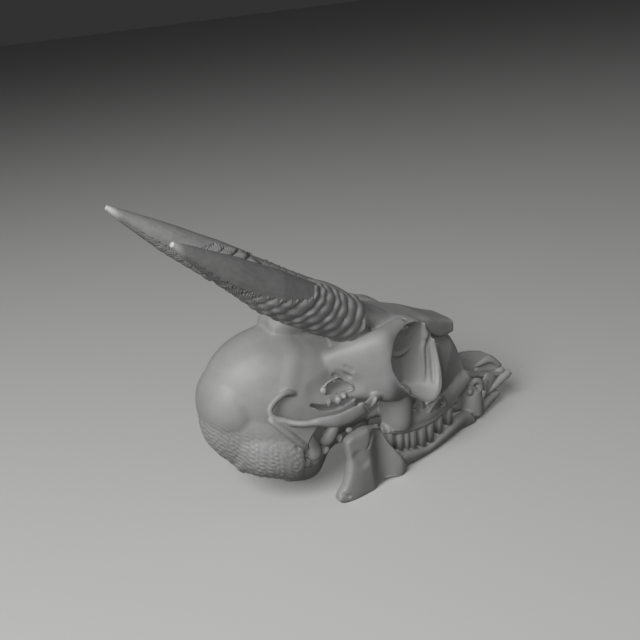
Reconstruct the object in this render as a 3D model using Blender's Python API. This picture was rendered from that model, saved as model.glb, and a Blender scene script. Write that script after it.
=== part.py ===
"""A dik-dik skull with its lower jaw in place, standing on the lower edge of the jaw.

Lengths are in millimetres, measured along the skull (x, from the back of the head to the
front teeth), across it (y, to the animal's left) and up from the ground (z). The function at()
turns them into metres round the middle of the skull.
"""

from math import cos, pi, radians, sin

import bmesh
import bpy
from mathutils import Euler, Matrix, Vector

# Driving dimensions
MM = 0.001
MIDDLE_X = 52.24
GAP = 0.3
JAW_DIP = 0.5

HORN_BASE = (47.2, -11.1, 51.5)
HORN_TIP = (-9.3, -27.0, 91.4)
HORN_SAG = 1.6
HORN_RADII = [
    (0.0, 6.3),
    (0.2, 6.15),
    (0.32, 6.1),
    (0.53, 5.6),
    (0.73, 4.0),
    (0.93, 1.8),
    (1.0, 0.7),
]
HORN_SIDES = 12
RING_PITCH = 0.044
RING_COUNT = 11
RING_HEIGHT = 0.6

TOOTH_ROW = [(50.4, -15.9), (58.0, -15.3), (67.0, -13.7), (76.0, -11.1), (86.0, -7.6)]
UPPER_GUM = [(50, 14.0), (56, 12.9), (62.5, 11.8), (69, 10.8), (77, 10.4), (86, 11.0)]
LOWER_GUM = [(50, 9.4), (55, 7.6), (62, 5.6), (70, 4.8), (78, 5.0), (86, 5.4)]
LOWER_CROWN = 0.7
GROOVE_DEPTH = 3.0
GROOVE_CLEAR = 5.0
UPPER_WIDTH = 4.2
LOWER_WIDTH = 3.4
CHEEK_TEETH = [
    ("molar_3", 6.9, 2),
    ("molar_2", 6.3, 2),
    ("molar_1", 5.8, 2),
    ("premolar_4", 5.0, 1),
    ("premolar_3", 4.9, 1),
    ("premolar_2", 4.7, 1),
]
FRONT_TEETH = [
    ("incisor_1", (101.4, -1.8, 5.2), (114.0, -1.3, 10.6), 1.0, 0.9),
    ("incisor_2", (100.2, -3.4, 5.8), (106.4, -4.2, 11.4), 0.6, 1.3),
    ("incisor_3", (98.9, -4.8, 6.4), (102.4, -5.4, 12.8), 0.6, 1.3),
    ("canine", (97.4, -6.2, 7.0), (99.0, -6.6, 12.4), 0.55, 1.0),
]

EYE_CENTRE = (61.5, 36.5)
EYE_BACK = -12.0
EYE_RIM = [
    (60.3, -18.0, 48.6),
    (65.0, -16.4, 48.2),
    (69.0, -15.4, 46.0),
    (71.6, -15.2, 41.0),
    (72.0, -16.2, 35.4),
    (71.6, -18.4, 29.6),
    (69.8, -20.4, 25.6),
    (66.6, -22.4, 23.8),
    (62.4, -24.0, 24.0),
    (57.8, -25.2, 27.4),
    (54.2, -25.2, 31.6),
    (51.8, -24.8, 36.0),
    (50.4, -24.0, 40.2),
    (51.4, -22.4, 44.6),
    (55.0, -20.2, 47.6),
]

# The edge of the upright plate of the jaw, (x, z), its place across the skull and its thickness
JAW_EDGE = [
    (30.2, 1.6),
    (31.0, 3.2),
    (33.2, 5.2),
    (34.8, 8.4),
    (35.6, 12.6),
    (35.0, 16.2),
    (34.8, 19.4),
    (37.0, 20.4),
    (41.0, 20.9),
    (45.0, 21.0),
    (48.2, 20.9),
    (49.6, 17.8),
    (50.9, 13.6),
    (53.4, 8.6),
    (56.0, 4.3),
    (57.2, 1.6),
    (56.4, -JAW_DIP),
    (33.6, -JAW_DIP),
    (31.4, 0.2),
]
JAW_BACK_Y = 20.4
JAW_TAPER = 0.07
JAW_THICK = 3.4

BONE_VOXEL = 0.8
CRANIUM_KEPT = 0.036
JAW_KEPT = 0.05


def at(x, y, z):
    """A point in metres."""
    return Vector((x - MIDDLE_X, y, z)) * MM


def along(table, t):
    """The value at t in a table of (t, value) rows, on straight lines between them."""
    for (t0, a), (t1, b) in zip(table, table[1:]):
        if t <= t1:
            return a + (b - a) * (t - t0) / (t1 - t0)
    return table[-1][1]


def smooth_path(points, steps):
    """Rows of numbers read off a smooth curve through the given rows, a few steps between each two."""
    rows = [Vector(p) for p in points]
    rows = [2 * rows[0] - rows[1], *rows, 2 * rows[-1] - rows[-2]]
    out = []
    for a, b, c, d in zip(rows, rows[1:], rows[2:], rows[3:]):
        bend, twist = 2 * a - 5 * b + 4 * c - d, 3 * b - a - 3 * c + d
        for i in range(steps):
            t = i / steps
            out.append(0.5 * (2 * b + (c - a) * t + bend * t**2 + twist * t**3))
    out.append(rows[-2])
    return out


def skin(bm, rings):
    """A closed surface over rings of equal length, each end closed by a fan."""
    rows = [[bm.verts.new(p) for p in ring] for ring in rings]
    count = len(rows[0])
    for a, b in zip(rows, rows[1:]):
        for i in range(count):
            j = (i + 1) % count
            bm.faces.new((a[i], a[j], b[j], b[i]))
    for row, flip in ((rows[0], True), (rows[-1], False)):
        tip = bm.verts.new(sum((v.co for v in row), Vector()) / count)
        for i in range(count):
            j = (i + 1) % count
            bm.faces.new((row[j], row[i], tip) if flip else (row[i], row[j], tip))


def loft(bm, stations, sides=20, power=2.2):
    """A body along x: each station is (x, middle y, half width, lowest z, highest z)."""
    rings = []
    for x, y, wide, low, high in smooth_path(stations, 3):
        ring = []
        for i in range(sides):
            a = 2 * pi * i / sides
            c, s = cos(a), sin(a)
            across = abs(c) ** (2 / power) * (1 if c > 0 else -1)
            up = abs(s) ** (2 / power) * (1 if s > 0 else -1)
            ring.append(at(x, y + wide * across, (low + high) / 2 + (high - low) / 2 * up))
        rings.append(ring)
    skin(bm, rings)


def tube(bm, stations, sides=10):
    """A rod on a smooth curve: each station is (x, y, z, radius across, radius up)."""
    rows = smooth_path(stations, 4)
    rings = []
    for i, row in enumerate(rows):
        before, after = rows[max(i - 1, 0)], rows[min(i + 1, len(rows) - 1)]
        run = (Vector(after[:3]) - Vector(before[:3])).normalized()
        side = run.cross(Vector((0, 0, 1))).normalized()
        rise = side.cross(run)
        centre = Vector(row[:3])
        ring = []
        for j in range(sides):
            a = 2 * pi * j / sides
            ring.append(at(*(centre + side * (row[3] * cos(a)) + rise * (row[4] * sin(a)))))
        rings.append(ring)
    skin(bm, rings)


def ball(bm, centre, radii, turn=(0, 0, 0)):
    """An egg-shaped body, turned by degrees about x, y and z."""
    place = Matrix.Translation(at(*centre)) @ Euler([radians(a) for a in turn]).to_matrix().to_4x4()
    size = Matrix.Diagonal([r * MM for r in radii] + [1])
    bmesh.ops.create_icosphere(bm, subdivisions=3, radius=1, matrix=place @ size)


def cut_ball(bm, centre, radii, turn, planes):
    """An egg-shaped body, cut off flat at each plane (point, direction) on the side of the direction."""
    piece = bmesh.new()
    ball(piece, centre, radii, turn)
    for point, direction in planes:
        found = bmesh.ops.bisect_plane(
            piece,
            geom=piece.verts[:] + piece.edges[:] + piece.faces[:],
            plane_co=at(*point),
            plane_no=direction,
            clear_outer=True,
        )
        edges = [e for e in found["geom_cut"] if isinstance(e, bmesh.types.BMEdge)]
        bmesh.ops.holes_fill(piece, edges=edges)
    mesh = bpy.data.meshes.new("piece")
    piece.to_mesh(mesh)
    piece.free()
    bm.from_mesh(mesh)
    bpy.data.meshes.remove(mesh)


def slab(bm, outline, thickness):
    """A plate from an outline of (x, y, z) points, thickened across."""
    half = Vector((0, thickness / 2, 0)) * MM
    near = [bm.verts.new(at(*p) - half) for p in outline]
    far = [bm.verts.new(at(*p) + half) for p in outline]
    bm.faces.new(near)
    bm.faces.new(far[::-1])
    for i in range(len(outline)):
        j = (i + 1) % len(outline)
        bm.faces.new((near[j], near[i], far[i], far[j]))


def material(name, colour, roughness):
    """A matte material of one colour."""
    made = bpy.data.materials.new(name)
    made.use_nodes = True
    shader = made.node_tree.nodes["Principled BSDF"]
    shader.inputs["Base Color"].default_value = (*colour, 1)
    shader.inputs["Roughness"].default_value = roughness
    made.diffuse_color = (*colour, 1)
    return made


def add_object(name, bm, finish):
    """A new object from a bmesh, with its faces pointing out."""
    bmesh.ops.recalc_face_normals(bm, faces=bm.faces)
    mesh = bpy.data.meshes.new(name)
    bm.to_mesh(mesh)
    bm.free()
    mesh.shade_smooth()
    piece = bpy.data.objects.new(name, mesh)
    bpy.context.scene.collection.objects.link(piece)
    if finish:
        mesh.materials.append(finish)
    return piece


def add_cutter(name, bm):
    """An object that is only cut away from others."""
    cutter = add_object(name, bm, None)
    cutter.hide_render = True
    cutter.display_type = "WIRE"
    return cutter


def cut(piece, cutter, mode="DIFFERENCE"):
    tool = piece.modifiers.new("cut " + cutter.name, "BOOLEAN")
    tool.object = cutter
    tool.operation = mode
    tool.solver = "EXACT"


def grow_together(piece, mirrored, smoothing, kept):
    """Makes one smooth skin over the overlapping lumps of a piece."""
    if mirrored:
        mirror = piece.modifiers.new("other side", "MIRROR")
        mirror.use_axis = (False, True, False)
        mirror.use_mirror_merge = False
    skin_over = piece.modifiers.new("one skin", "REMESH")
    skin_over.mode = "VOXEL"
    skin_over.voxel_size = BONE_VOXEL * MM
    skin_over.use_smooth_shade = True
    soften = piece.modifiers.new("soften", "SMOOTH")
    soften.factor = 0.5
    soften.iterations = smoothing
    thin = piece.modifiers.new("fewer faces", "DECIMATE")
    thin.ratio = kept


def braincase(bm):
    """The round back of the head: a dome, and under it the mass that the neck muscles pulled on."""
    dome_ends = [((42, 0, 30), (1, 0, 0)), ((30, 0, 25.5), (0, 0, -1))]
    cut_ball(bm, (30.7, 0, 30.5), (30, 18.5, 21), (0, 21.5, 0), dome_ends)
    cut_ball(bm, (32.4, 0, 22.0), (34.1, 18.5, 20.4), (0, 17, 0), [((21.5, 0, 20), (1, 0, 0.25))])
    loft(
        bm,
        [
            (6, 0, 11.5, 14.0, 30),
            (10, 0, 15.0, 10.8, 30),
            (15, 0, 17.2, 8.4, 30),
            (20, 0, 18.4, 6.2, 30),
            (22.8, 0, 18.2, 5.8, 30),
        ],
        power=2.4,
    )
    loft(bm, [(18, 0, 12, 11, 29), (28, 0, 10.5, 12, 29), (40, 0, 10.5, 13, 29), (52, 0, 11, 15, 29)])
    ball(bm, (3.0, 0, 34.8), (3.7, 6.0, 4.8))
    ball(bm, (8.8, -5.0, 15.0), (2.8, 2.0, 3.3))


def forehead(bm):
    """The middle of the skull from the back of the brow to the end of the nose."""
    loft(
        bm,
        [
            (28, 0, 14.0, 20, 52.0),
            (36, 0, 13.0, 19, 53.0),
            (45, 0, 13.0, 18, 53.0),
            (54, 0, 14.5, 17, 51.2),
            (62, 0, 14.0, 16.5, 48.6),
            (70, 0, 12.0, 16, 46.0),
            (74, 0, 10.0, 15.5, 41.0),
            (78, 0, 8.4, 15, 38.5),
            (82, 0, 7.0, 15, 37.0),
            (86, 0, 6.0, 15, 35.6),
            (88.8, 0, 5.2, 15, 32.0),
            (90.8, 0, 4.4, 15, 26.0),
        ],
    )
    loft(
        bm,
        [
            (60, 0, 11.5, 42, 49.6),
            (67, 0, 11.0, 40, 47.0),
            (75, 0, 9.6, 38.2, 44.4),
            (81, 0, 8.2, 36.6, 41.8),
            (84.6, 0, 6.6, 35.2, 39.3),
            (86.4, 0, 5.2, 34.4, 37.6),
        ],
    )


def brow_mound(bm):
    """The mound between the horns, and the stumps that the horns sit on."""
    loft(
        bm,
        [
            (23.4, 0, 5.0, 50, 55.5),
            (27.5, 0, 7.5, 48, 59.0),
            (34, 0, 8.5, 46, 62.5),
            (41, 0, 9.0, 46, 63.0),
            (48, 0, 10.5, 46, 59.5),
            (55, 0, 12.0, 44, 53.2),
            (62, 0, 12.0, 42, 49.0),
        ],
    )
    ball(bm, (45.6, -10.6, 46.2), (7.0, 7.0, 5.2), (0, 15, 0))


def cheek_wing(bm):
    """The wall that flares from the side of the head to the back of the eye socket."""
    loft(
        bm,
        [
            (36, -11.5, 3.0, 31, 46.0),
            (41, -14.5, 4.4, 29.5, 48.0),
            (46, -17.5, 5.0, 28.5, 49.4),
            (50.5, -19.0, 5.4, 27.0, 49.8),
            (55, -17.5, 5.4, 25.5, 49.8),
            (61, -15.0, 5.0, 24.5, 49.6),
        ],
        power=2.6,
    )


def eye_ring(depth, size):
    """The eye socket's edge, moved inwards by a share of the socket's depth and scaled about its middle."""
    ring = []
    for x, y, z in smooth_path(EYE_RIM + EYE_RIM[:1], 2)[:-1]:
        x = EYE_CENTRE[0] + (x - EYE_CENTRE[0]) * size
        z = EYE_CENTRE[1] + (z - EYE_CENTRE[1]) * size
        ring.append(at(x, y + (EYE_BACK - y) * depth, z))
    return ring


def eye_wall(bm):
    """The wall round the eye, which ends outside in a thin edge."""
    skin(bm, [eye_ring(0, 1.0), eye_ring(0.5, 0.97), eye_ring(1.2, 0.9)])


def cheek_arch(bm):
    """The arch that runs back from the cheek and ends in a loop on the side of the head."""
    tube(
        bm,
        [
            (25.0, -16.4, 39.4, 1.2, 1.2),
            (21.4, -17.4, 39.0, 1.3, 1.2),
            (18.0, -17.4, 39.1, 1.3, 1.2),
            (15.6, -17.4, 38.0, 1.2, 1.2),
            (13.9, -17.8, 36.0, 1.3, 1.3),
            (14.1, -18.6, 34.2, 1.3, 1.2),
            (16.0, -19.6, 32.8, 1.3, 1.2),
            (18.6, -21.0, 31.8, 1.2, 1.2),
            (21.4, -23.2, 31.3, 1.2, 1.4),
            (25.5, -25.2, 31.2, 1.3, 1.7),
            (31.5, -26.0, 30.4, 1.3, 2.0),
            (37.0, -25.9, 30.4, 1.3, 2.0),
            (42.0, -25.2, 31.0, 1.5, 2.0),
            (48.0, -23.8, 30.6, 2.0, 2.8),
            (56.0, -22.0, 28.0, 2.2, 3.0),
        ],
        8,
    )


def ear_region(bm):
    """The ear plate, the rod behind it, the ear bubble and the small lumps round them."""
    slab(bm, [(12.8, -19.0, 33.0), (25.0, -22.6, 30.8), (21.8, -19.8, 22.8)], 2.0)
    tube(bm, [(12.4, -18.8, 32.6, 1.1, 1.1), (17.0, -19.4, 27.2, 1.2, 1.2), (21.8, -19.8, 22.2, 1.2, 1.2)])
    ball(bm, (27.6, -13.6, 16.5), (3.4, 3.6, 5.0), (0, -12, 0))
    ball(bm, (24.2, -14.8, 13.6), (1.8, 1.8, 2.0))
    ball(bm, (32.4, -14.6, 19.2), (3.0, 2.8, 2.8))
    ball(bm, (37.8, -14.6, 19.6), (2.2, 2.0, 2.4))
    ball(bm, (31.4, -14.0, 14.6), (1.8, 1.8, 1.8))
    tube(
        bm,
        [
            (21, -6.0, 9.0, 5.0, 4.0),
            (28.0, -6.0, 7.0, 4.4, 4.0),
            (31.0, -5.4, 8.6, 3.8, 4.0),
            (34.0, -5.0, 12.0, 3.6, 3.8),
            (38.0, -4.6, 14.0, 3.6, 3.8),
            (43.0, -4.6, 14.4, 3.8, 3.8),
            (50.0, -5.2, 17.0, 4.2, 4.2),
        ],
    )


def tooth_bearing_bone(bm):
    """The swelling over the last tooth, the bone over the tooth row and the lump in front of the cheek."""
    tube(
        bm,
        [
            (57.0, -14.6, 27.0, 4.9, 4.9),
            (56.8, -14.9, 21.5, 5.1, 5.1),
            (56.6, -15.1, 17.0, 4.9, 4.9),
            (56.2, -15.3, 14.0, 3.8, 3.8),
        ],
        12,
    )
    tube(
        bm,
        [
            (51.0, -15.6, 16.0, 2.2, 2.0),
            (58.0, -15.2, 14.8, 2.2, 2.2),
            (66.0, -13.9, 13.6, 2.3, 2.4),
            (73.0, -12.0, 13.4, 2.4, 2.8),
            (80.0, -9.6, 14.0, 2.4, 3.2),
            (87.0, -7.0, 15.4, 2.0, 3.0),
            (92.0, -5.4, 17.2, 1.6, 1.6),
        ],
    )
    ball(bm, (75.0, -11.6, 15.4), (3.4, 2.4, 3.0), (0, 20, 20))
    loft(
        bm,
        [
            (48, 0, 12.5, 16, 24),
            (60, 0, 12.6, 14.6, 28),
            (72, 0, 10.6, 13.6, 30),
            (84, 0, 7.0, 13.8, 26),
            (92, 0, 4.8, 15.4, 19),
        ],
    )


def nose_front(bm):
    """The two thin front bones, which run forward side by side and meet at the tip."""
    slab(
        bm,
        [
            (87.0, -5.6, 15.4),
            (87.0, -5.6, 23.0),
            (91.4, -4.8, 22.4),
            (94.4, -4.4, 22.0),
            (99.4, -4.0, 21.0),
            (104.2, -3.2, 18.8),
            (107.6, -2.6, 16.6),
            (110.4, -2.0, 13.6),
            (109.6, -2.2, 12.2),
            (106.8, -3.0, 13.8),
            (102.4, -3.6, 14.8),
            (97.2, -4.2, 16.0),
            (92.5, -4.8, 16.2),
        ],
        2.2,
    )
    loft(
        bm,
        [
            (86, 0, 5.0, 14.6, 20),
            (92, 0, 4.6, 15.2, 21.6),
            (98, 0, 4.0, 15.0, 21),
            (104, 0, 3.0, 13.6, 18.4),
            (110, 0, 2.0, 11.8, 13.8),
        ],
    )


def eye_hollow():
    """What is hollowed out for the eye, on both sides."""
    bm = bmesh.new()
    stops = ((-0.4, 0.98), (0, 0.92), (0.5, 0.84), (0.85, 0.74), (1.0, 0.6))
    skin(bm, [eye_ring(depth, size) for depth, size in stops])
    return add_cutter("eye hollow", bm)


def temple_hollow():
    """The pit in the side of the head, inside the cheek arch."""
    bm = bmesh.new()
    ball(bm, (37.5, -20.4, 33.5), (9.5, 4.6, 4.0), (0, 10, 0))
    return add_cutter("temple hollow", bm)


def nose_hollow():
    """The open nose: a passage that runs back from between the front bones."""
    bm = bmesh.new()
    loft(
        bm,
        [
            (76, 0, 2.0, 25, 31),
            (82, 0, 3.4, 21, 33),
            (88, 0, 3.6, 19.6, 34),
            (94, 0, 3.2, 21.6, 36),
            (99, 0, 2.8, 25, 38),
        ],
    )
    return add_cutter("nose hollow", bm)


def worn_edge():
    """What is missing above the front bones, whose upper edge is lower on the right than on the left."""
    bm = bmesh.new()
    low = [(89.4, 19.6), (94.0, 17.4), (101.0, 17.8), (106.4, 17.4), (111.0, 15.0)]
    high = [(89.4, 24.0), (94.0, 22.4), (101.0, 20.6), (106.4, 18.4), (111.0, 15.0)]
    above = [(111.0, 32.0), (89.4, 32.0)]
    skin(bm, [[at(x, -6.4, z) for x, z in low + above], [at(x, 5.4, z) for x, z in high + above]])
    return add_cutter("worn edge", bm)


def spine_hollow():
    """The opening for the spinal cord, under the back of the head."""
    bm = bmesh.new()
    ball(bm, (10.5, 0, 10.5), (6.6, 4.6, 4.2), (0, 28, 0))
    return add_cutter("neck opening", bm)


def row_point(distance):
    """The place (x, y) on the tooth row at a distance from its back end, and the row's direction there."""
    points = [Vector(p) for p in smooth_path([(x, y, 0) for x, y in TOOTH_ROW], 6)]
    for a, b in zip(points, points[1:]):
        step = (b - a).length
        if distance <= step:
            break
        distance -= step
    run = (b - a).normalized()
    return a + run * distance, run


def gum_height(upper, x):
    """The height of the bone's edge round the cheek teeth."""
    return along(UPPER_GUM if upper else LOWER_GUM, x)


def lobed_outline(length, width, lobes, corners):
    """A tooth's outline seen from below: rounded columns side by side."""
    half = length / lobes / 2
    outline = []
    for side in (-1, 1):
        for k in range(lobes):
            middle = (-length / 2 + half * (2 * k + 1)) * -side
            for i in range(corners):
                a = pi * (i + 0.5) / corners
                across = side * (width / 2 - half * 0.5 * (1 - sin(a)))
                outline.append((middle + side * half * cos(a), across))
    return outline


def cheek_tooth(name, side, upper, distance, length, lobes, enamel):
    """One cheek tooth: columns that stand in the row's groove and end at the bite."""
    bm = bmesh.new()
    middle, run = row_point(distance + length / 2)
    outward = Vector((run.y, -run.x, 0))
    width = UPPER_WIDTH if upper else LOWER_WIDTH
    shift = 0 if upper else -0.5
    grow = 1 if upper else -1
    gum = gum_height(upper, middle.x)
    bite = gum_height(False, middle.x) + LOWER_CROWN + grow * GAP / 2
    rings = []
    for z, scale in ((gum + 1.4 * grow, 0.9), (gum - 0.4 * grow, 1.0), (bite, 0.9)):
        ring = []
        for u, v in lobed_outline(length - GAP, width, lobes, 3 if lobes > 1 else 4):
            p = middle + run * (u * scale) + outward * (v * scale + shift)
            ring.append(at(p.x, p.y * -side, z))
        rings.append(ring)
    skin(bm, rings)
    add_object(name, bm, enamel)


def teeth_groove(name, upper):
    """The groove in the bone that the cheek teeth stand in, on both sides."""
    bm = bmesh.new()
    total = sum(row[1] for row in CHEEK_TEETH)
    shift = 0 if upper else -0.5
    half = (UPPER_WIDTH if upper else LOWER_WIDTH) / 2 + GAP
    grow = 1 if upper else -1
    steps = 8
    for side in (-1, 1):
        rings = []
        for i in range(steps + 1):
            distance = -GAP + (total + 2 * GAP) * i / steps
            p, run = row_point(distance)
            outward = Vector((run.y, -run.x, 0))
            gum = gum_height(upper, p.x)
            deep, clear = gum + GROOVE_DEPTH * grow, gum - GROOVE_CLEAR * grow
            ring = []
            for v, z in ((-half, clear), (half, clear), (half, deep), (-half, deep)):
                q = p + outward * (v + shift)
                ring.append(at(q.x, q.y * -side, z))
            rings.append(ring)
        skin(bm, rings)
    return add_cutter(name, bm)


def horn_axis(t):
    """The middle line of the right horn, from its base (t = 0) to its tip (t = 1)."""
    base, tip = Vector(HORN_BASE), Vector(HORN_TIP)
    return base.lerp(tip, t) - Vector((0, 0, HORN_SAG * 4 * t * (1 - t)))


def horn_frame(t):
    """The horn's outer side and its upper side at t."""
    run = (horn_axis(t + 0.01) - horn_axis(t - 0.01)).normalized()
    outer = Vector((0, 0, 1)).cross(run).normalized()
    return outer, run.cross(outer)


def horn_ring(t, side, radius_at):
    """The points of one ring of the horn: radius_at gives the radius for an angle from the outer side."""
    outer, upper = horn_frame(t)
    ring = []
    for i in range(HORN_SIDES):
        a = 2 * pi * i / HORN_SIDES
        p = horn_axis(t) + (outer * cos(a) + upper * sin(a)) * radius_at(a)
        ring.append(at(p.x, p.y * -side, p.z))
    return ring


def ring_reach(t):
    """How far round from the underside the rings reach, in radians."""
    return along([(0, pi), (0.18, pi), (0.28, 1.8), (0.42, 1.15), (1, 0.7)], t)


def horn(name, side, turn, finish):
    """A horn sheath: overlapping rings from its base to its middle, which the upper face loses first."""
    bm = bmesh.new()
    stops = []
    for k in range(RING_COUNT):
        stops += [(k * RING_PITCH, -0.3), ((k + 0.22) * RING_PITCH, 1.0)]
    stops += [(t, 0) for t in (0.5, 0.62, 0.73, 0.83, 0.93, 0.975, 1.0)]
    rings = []
    for t, proud in stops:

        def radius_at(a):
            from_below = abs((a + pi / 2 + turn + pi) % (2 * pi) - pi)
            cover = min(max((ring_reach(t) - from_below) / 0.5 + 0.5, 0), 1)
            return along(HORN_RADII, t) + RING_HEIGHT * proud * cover

        rings.append(horn_ring(t, side, radius_at))
    skin(bm, rings)
    add_object(name, bm, finish)


def horn_seats():
    """Where the horn sheaths sit: their lower halves, made larger by the gap."""
    bm = bmesh.new()
    for side in (-1, 1):
        rings = []
        for t in (-0.006, 0.1, 0.2, 0.3, 0.4, 0.5):
            rings.append(horn_ring(t, side, lambda a: along(HORN_RADII, max(t, 0)) + RING_HEIGHT + 2 * GAP))
        skin(bm, rings)
    return add_cutter("horn seats", bm)


def cranium(bone, upper_groove):
    """The cranium: all its lumps under one skin, less the hollows and the seats of teeth and horns."""
    bm = bmesh.new()
    for build in (
        braincase,
        forehead,
        brow_mound,
        cheek_wing,
        eye_wall,
        cheek_arch,
        ear_region,
        tooth_bearing_bone,
        nose_front,
    ):
        build(bm)
    piece = add_object("cranium", bm, bone)
    grow_together(piece, True, 3, CRANIUM_KEPT)
    for hollow in (eye_hollow, temple_hollow):
        cutter = hollow()
        mirror = cutter.modifiers.new("other side", "MIRROR")
        mirror.use_axis = (False, True, False)
        mirror.use_mirror_merge = False
        cut(piece, cutter)
    for hollow in (nose_hollow, worn_edge, spine_hollow, horn_seats):
        cut(piece, hollow())
    cut(piece, upper_groove)


def jaw_half(side, bone, cutters):
    """Half of the lower jaw: an upright plate behind, a low bar under the teeth, and the chin."""
    bm = bmesh.new()
    y = side
    behind = JAW_EDGE[0][0]
    slab(bm, [(x, (JAW_BACK_Y - JAW_TAPER * (x - behind)) * y, z) for x, z in JAW_EDGE], JAW_THICK)
    loft(
        bm,
        [
            (44.0, 18.2 * y, 1.6, 3.0, 9.0),
            (50.0, 16.8 * y, 2.8, -JAW_DIP, 9.2),
            (55.0, 16.2 * y, 3.0, -JAW_DIP, 7.8),
            (62.0, 15.0 * y, 3.0, -JAW_DIP, 6.0),
            (70.0, 13.2 * y, 3.0, -JAW_DIP, 5.2),
            (78.0, 10.8 * y, 2.9, -JAW_DIP, 5.4),
            (85.0, 8.2 * y, 2.8, -JAW_DIP, 5.6),
            (91.0, 5.6 * y, 2.8, -JAW_DIP, 4.6),
            (97.0, 3.6 * y, 2.6, 0.2, 4.6),
            (103.0, 1.8 * y, 2.2, 1.6, 5.2),
            (108.6, 0.6 * y, 1.6, 3.6, 5.6),
        ],
        16,
        2.6,
    )
    chin = [(94.0, 3.7 * y, 2.0, 3.0, 3.0), (94.6, 3.7 * y, 8.0, 2.9, 2.9), (95.6, 3.4 * y, 13.4, 2.6, 2.6)]
    tube(bm, chin)
    ball(bm, (99.2, 3.8 * y, 5.0), (3.6, 3.6, 2.4))
    piece = add_object("jaw_right" if side < 0 else "jaw_left", bm, bone)
    grow_together(piece, False, 2, JAW_KEPT)
    for cutter in cutters:
        cut(piece, cutter)


def box_cutter(name, low, high):
    """A block between two corners that is cut away."""
    bm = bmesh.new()
    low, high = at(*low), at(*high)
    size = Matrix.Diagonal((*(high - low), 1))
    bmesh.ops.create_cube(bm, size=1, matrix=Matrix.Translation((low + high) / 2) @ size)
    return add_cutter(name, bm)


def tooth_line(root, tip, side, stops):
    """The rings of a front tooth: each stop is (share of the length, half thickness, half width)."""
    a = Vector((root[0], root[1] * -side, root[2]))
    b = Vector((tip[0], tip[1] * -side, tip[2]))
    run = (b - a).normalized()
    across = run.cross(Vector((0, 0, 1))).normalized()
    rise = across.cross(run)
    rings = []
    for t, thick, wide in stops:
        middle = a.lerp(b, t)
        corners = [(cos(pi * i / 3), sin(pi * i / 3)) for i in range(6)]
        rings.append([at(*(middle + across * (thick * c) + rise * (wide * s))) for c, s in corners])
    return rings


def front_tooth(name, side, root, tip, thick, wide, enamel):
    """A front tooth: a slim root that widens to a blunt blade."""
    bm = bmesh.new()
    stops = ((0, 0.5, 0.5), (0.35, 0.55, 0.6), (0.8, thick, wide), (1.0, thick * 0.6, wide * 0.7))
    skin(bm, tooth_line(root, tip, side, stops))
    add_object(name, bm, enamel)


def front_sockets(side):
    """The holes in one half of the jaw for the roots of the front teeth."""
    bm = bmesh.new()
    for tooth, root, tip, thick, wide in FRONT_TEETH:
        skin(bm, tooth_line(root, tip, side, ((-0.06, 0.95, 0.95), (0.35, 0.95, 1.0), (0.6, 1.0, 1.1))))
    return add_cutter("front sockets " + ("right" if side < 0 else "left"), bm)


def main():
    for old in list(bpy.data.objects):
        bpy.data.objects.remove(old, do_unlink=True)
    bone = material("bone", (0.36, 0.36, 0.36), 0.6)
    horn_finish = material("horn", (0.3, 0.3, 0.3), 0.5)
    enamel = material("tooth", (0.42, 0.42, 0.41), 0.4)
    upper = teeth_groove("upper groove", True)
    cranium(bone, upper)
    lower = teeth_groove("lower groove", False)
    ground = box_cutter("below the ground", (20, -40, -10), (120, 40, 0))
    for side in (-1, 1):
        inner, outer = sorted((side * GAP / 2, -side * 30))
        beyond = box_cutter(f"beyond the middle {side}", (80, inner, -5), (120, outer, 30))
        jaw_half(side, bone, (lower, upper, ground, beyond, front_sockets(side)))
    horn("horn_right", -1, 0, horn_finish)
    horn("horn_left", 1, radians(25), horn_finish)
    for side, word in ((-1, "right"), (1, "left")):
        for is_upper, level in ((True, "upper"), (False, "lower")):
            distance = 0
            for tooth, length, lobes in CHEEK_TEETH:
                cheek_tooth(f"{level}_{tooth}_{word}", side, is_upper, distance, length, lobes, enamel)
                distance += length
        for tooth, root, tip, thick, wide in FRONT_TEETH:
            front_tooth(f"{tooth}_{word}", side, root, tip, thick, wide, enamel)


main()
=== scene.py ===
"""The looks of a dik-dik skull: bone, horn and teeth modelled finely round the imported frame.

Lengths are in millimetres, measured along the skull (x, from the back of the head to the
front teeth), across it (y, to the animal's left) and up from the ground (z). The function at()
turns them into metres round the middle of the skull. Shapes that are the same on both sides
are given for the right side, where y is below zero.
"""

from math import cos, pi, radians, sin

import bmesh
import bpy
import numpy as np
from mathutils import Euler, Matrix, Vector


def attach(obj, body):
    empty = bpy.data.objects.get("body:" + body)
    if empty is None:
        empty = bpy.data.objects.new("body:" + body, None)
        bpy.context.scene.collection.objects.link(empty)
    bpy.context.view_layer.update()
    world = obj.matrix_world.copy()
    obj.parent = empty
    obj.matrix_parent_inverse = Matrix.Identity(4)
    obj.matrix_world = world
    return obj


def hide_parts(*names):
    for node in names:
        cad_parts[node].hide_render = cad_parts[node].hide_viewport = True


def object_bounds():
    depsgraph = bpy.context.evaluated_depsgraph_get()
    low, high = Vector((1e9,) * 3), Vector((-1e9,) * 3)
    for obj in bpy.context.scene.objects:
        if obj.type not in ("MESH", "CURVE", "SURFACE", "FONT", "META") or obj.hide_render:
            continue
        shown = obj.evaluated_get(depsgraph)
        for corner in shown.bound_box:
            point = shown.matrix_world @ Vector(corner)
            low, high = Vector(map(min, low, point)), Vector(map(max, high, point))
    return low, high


bl_info = {
    "name": "Dik-dik skull",
    "version": (1, 0, 0),
    "blender": (4, 5, 0),
    "location": "3D View > Sidebar > Skull",
    "description": "Models the skull of a small antelope with ringed horns",
    "category": "Object",
}

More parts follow.
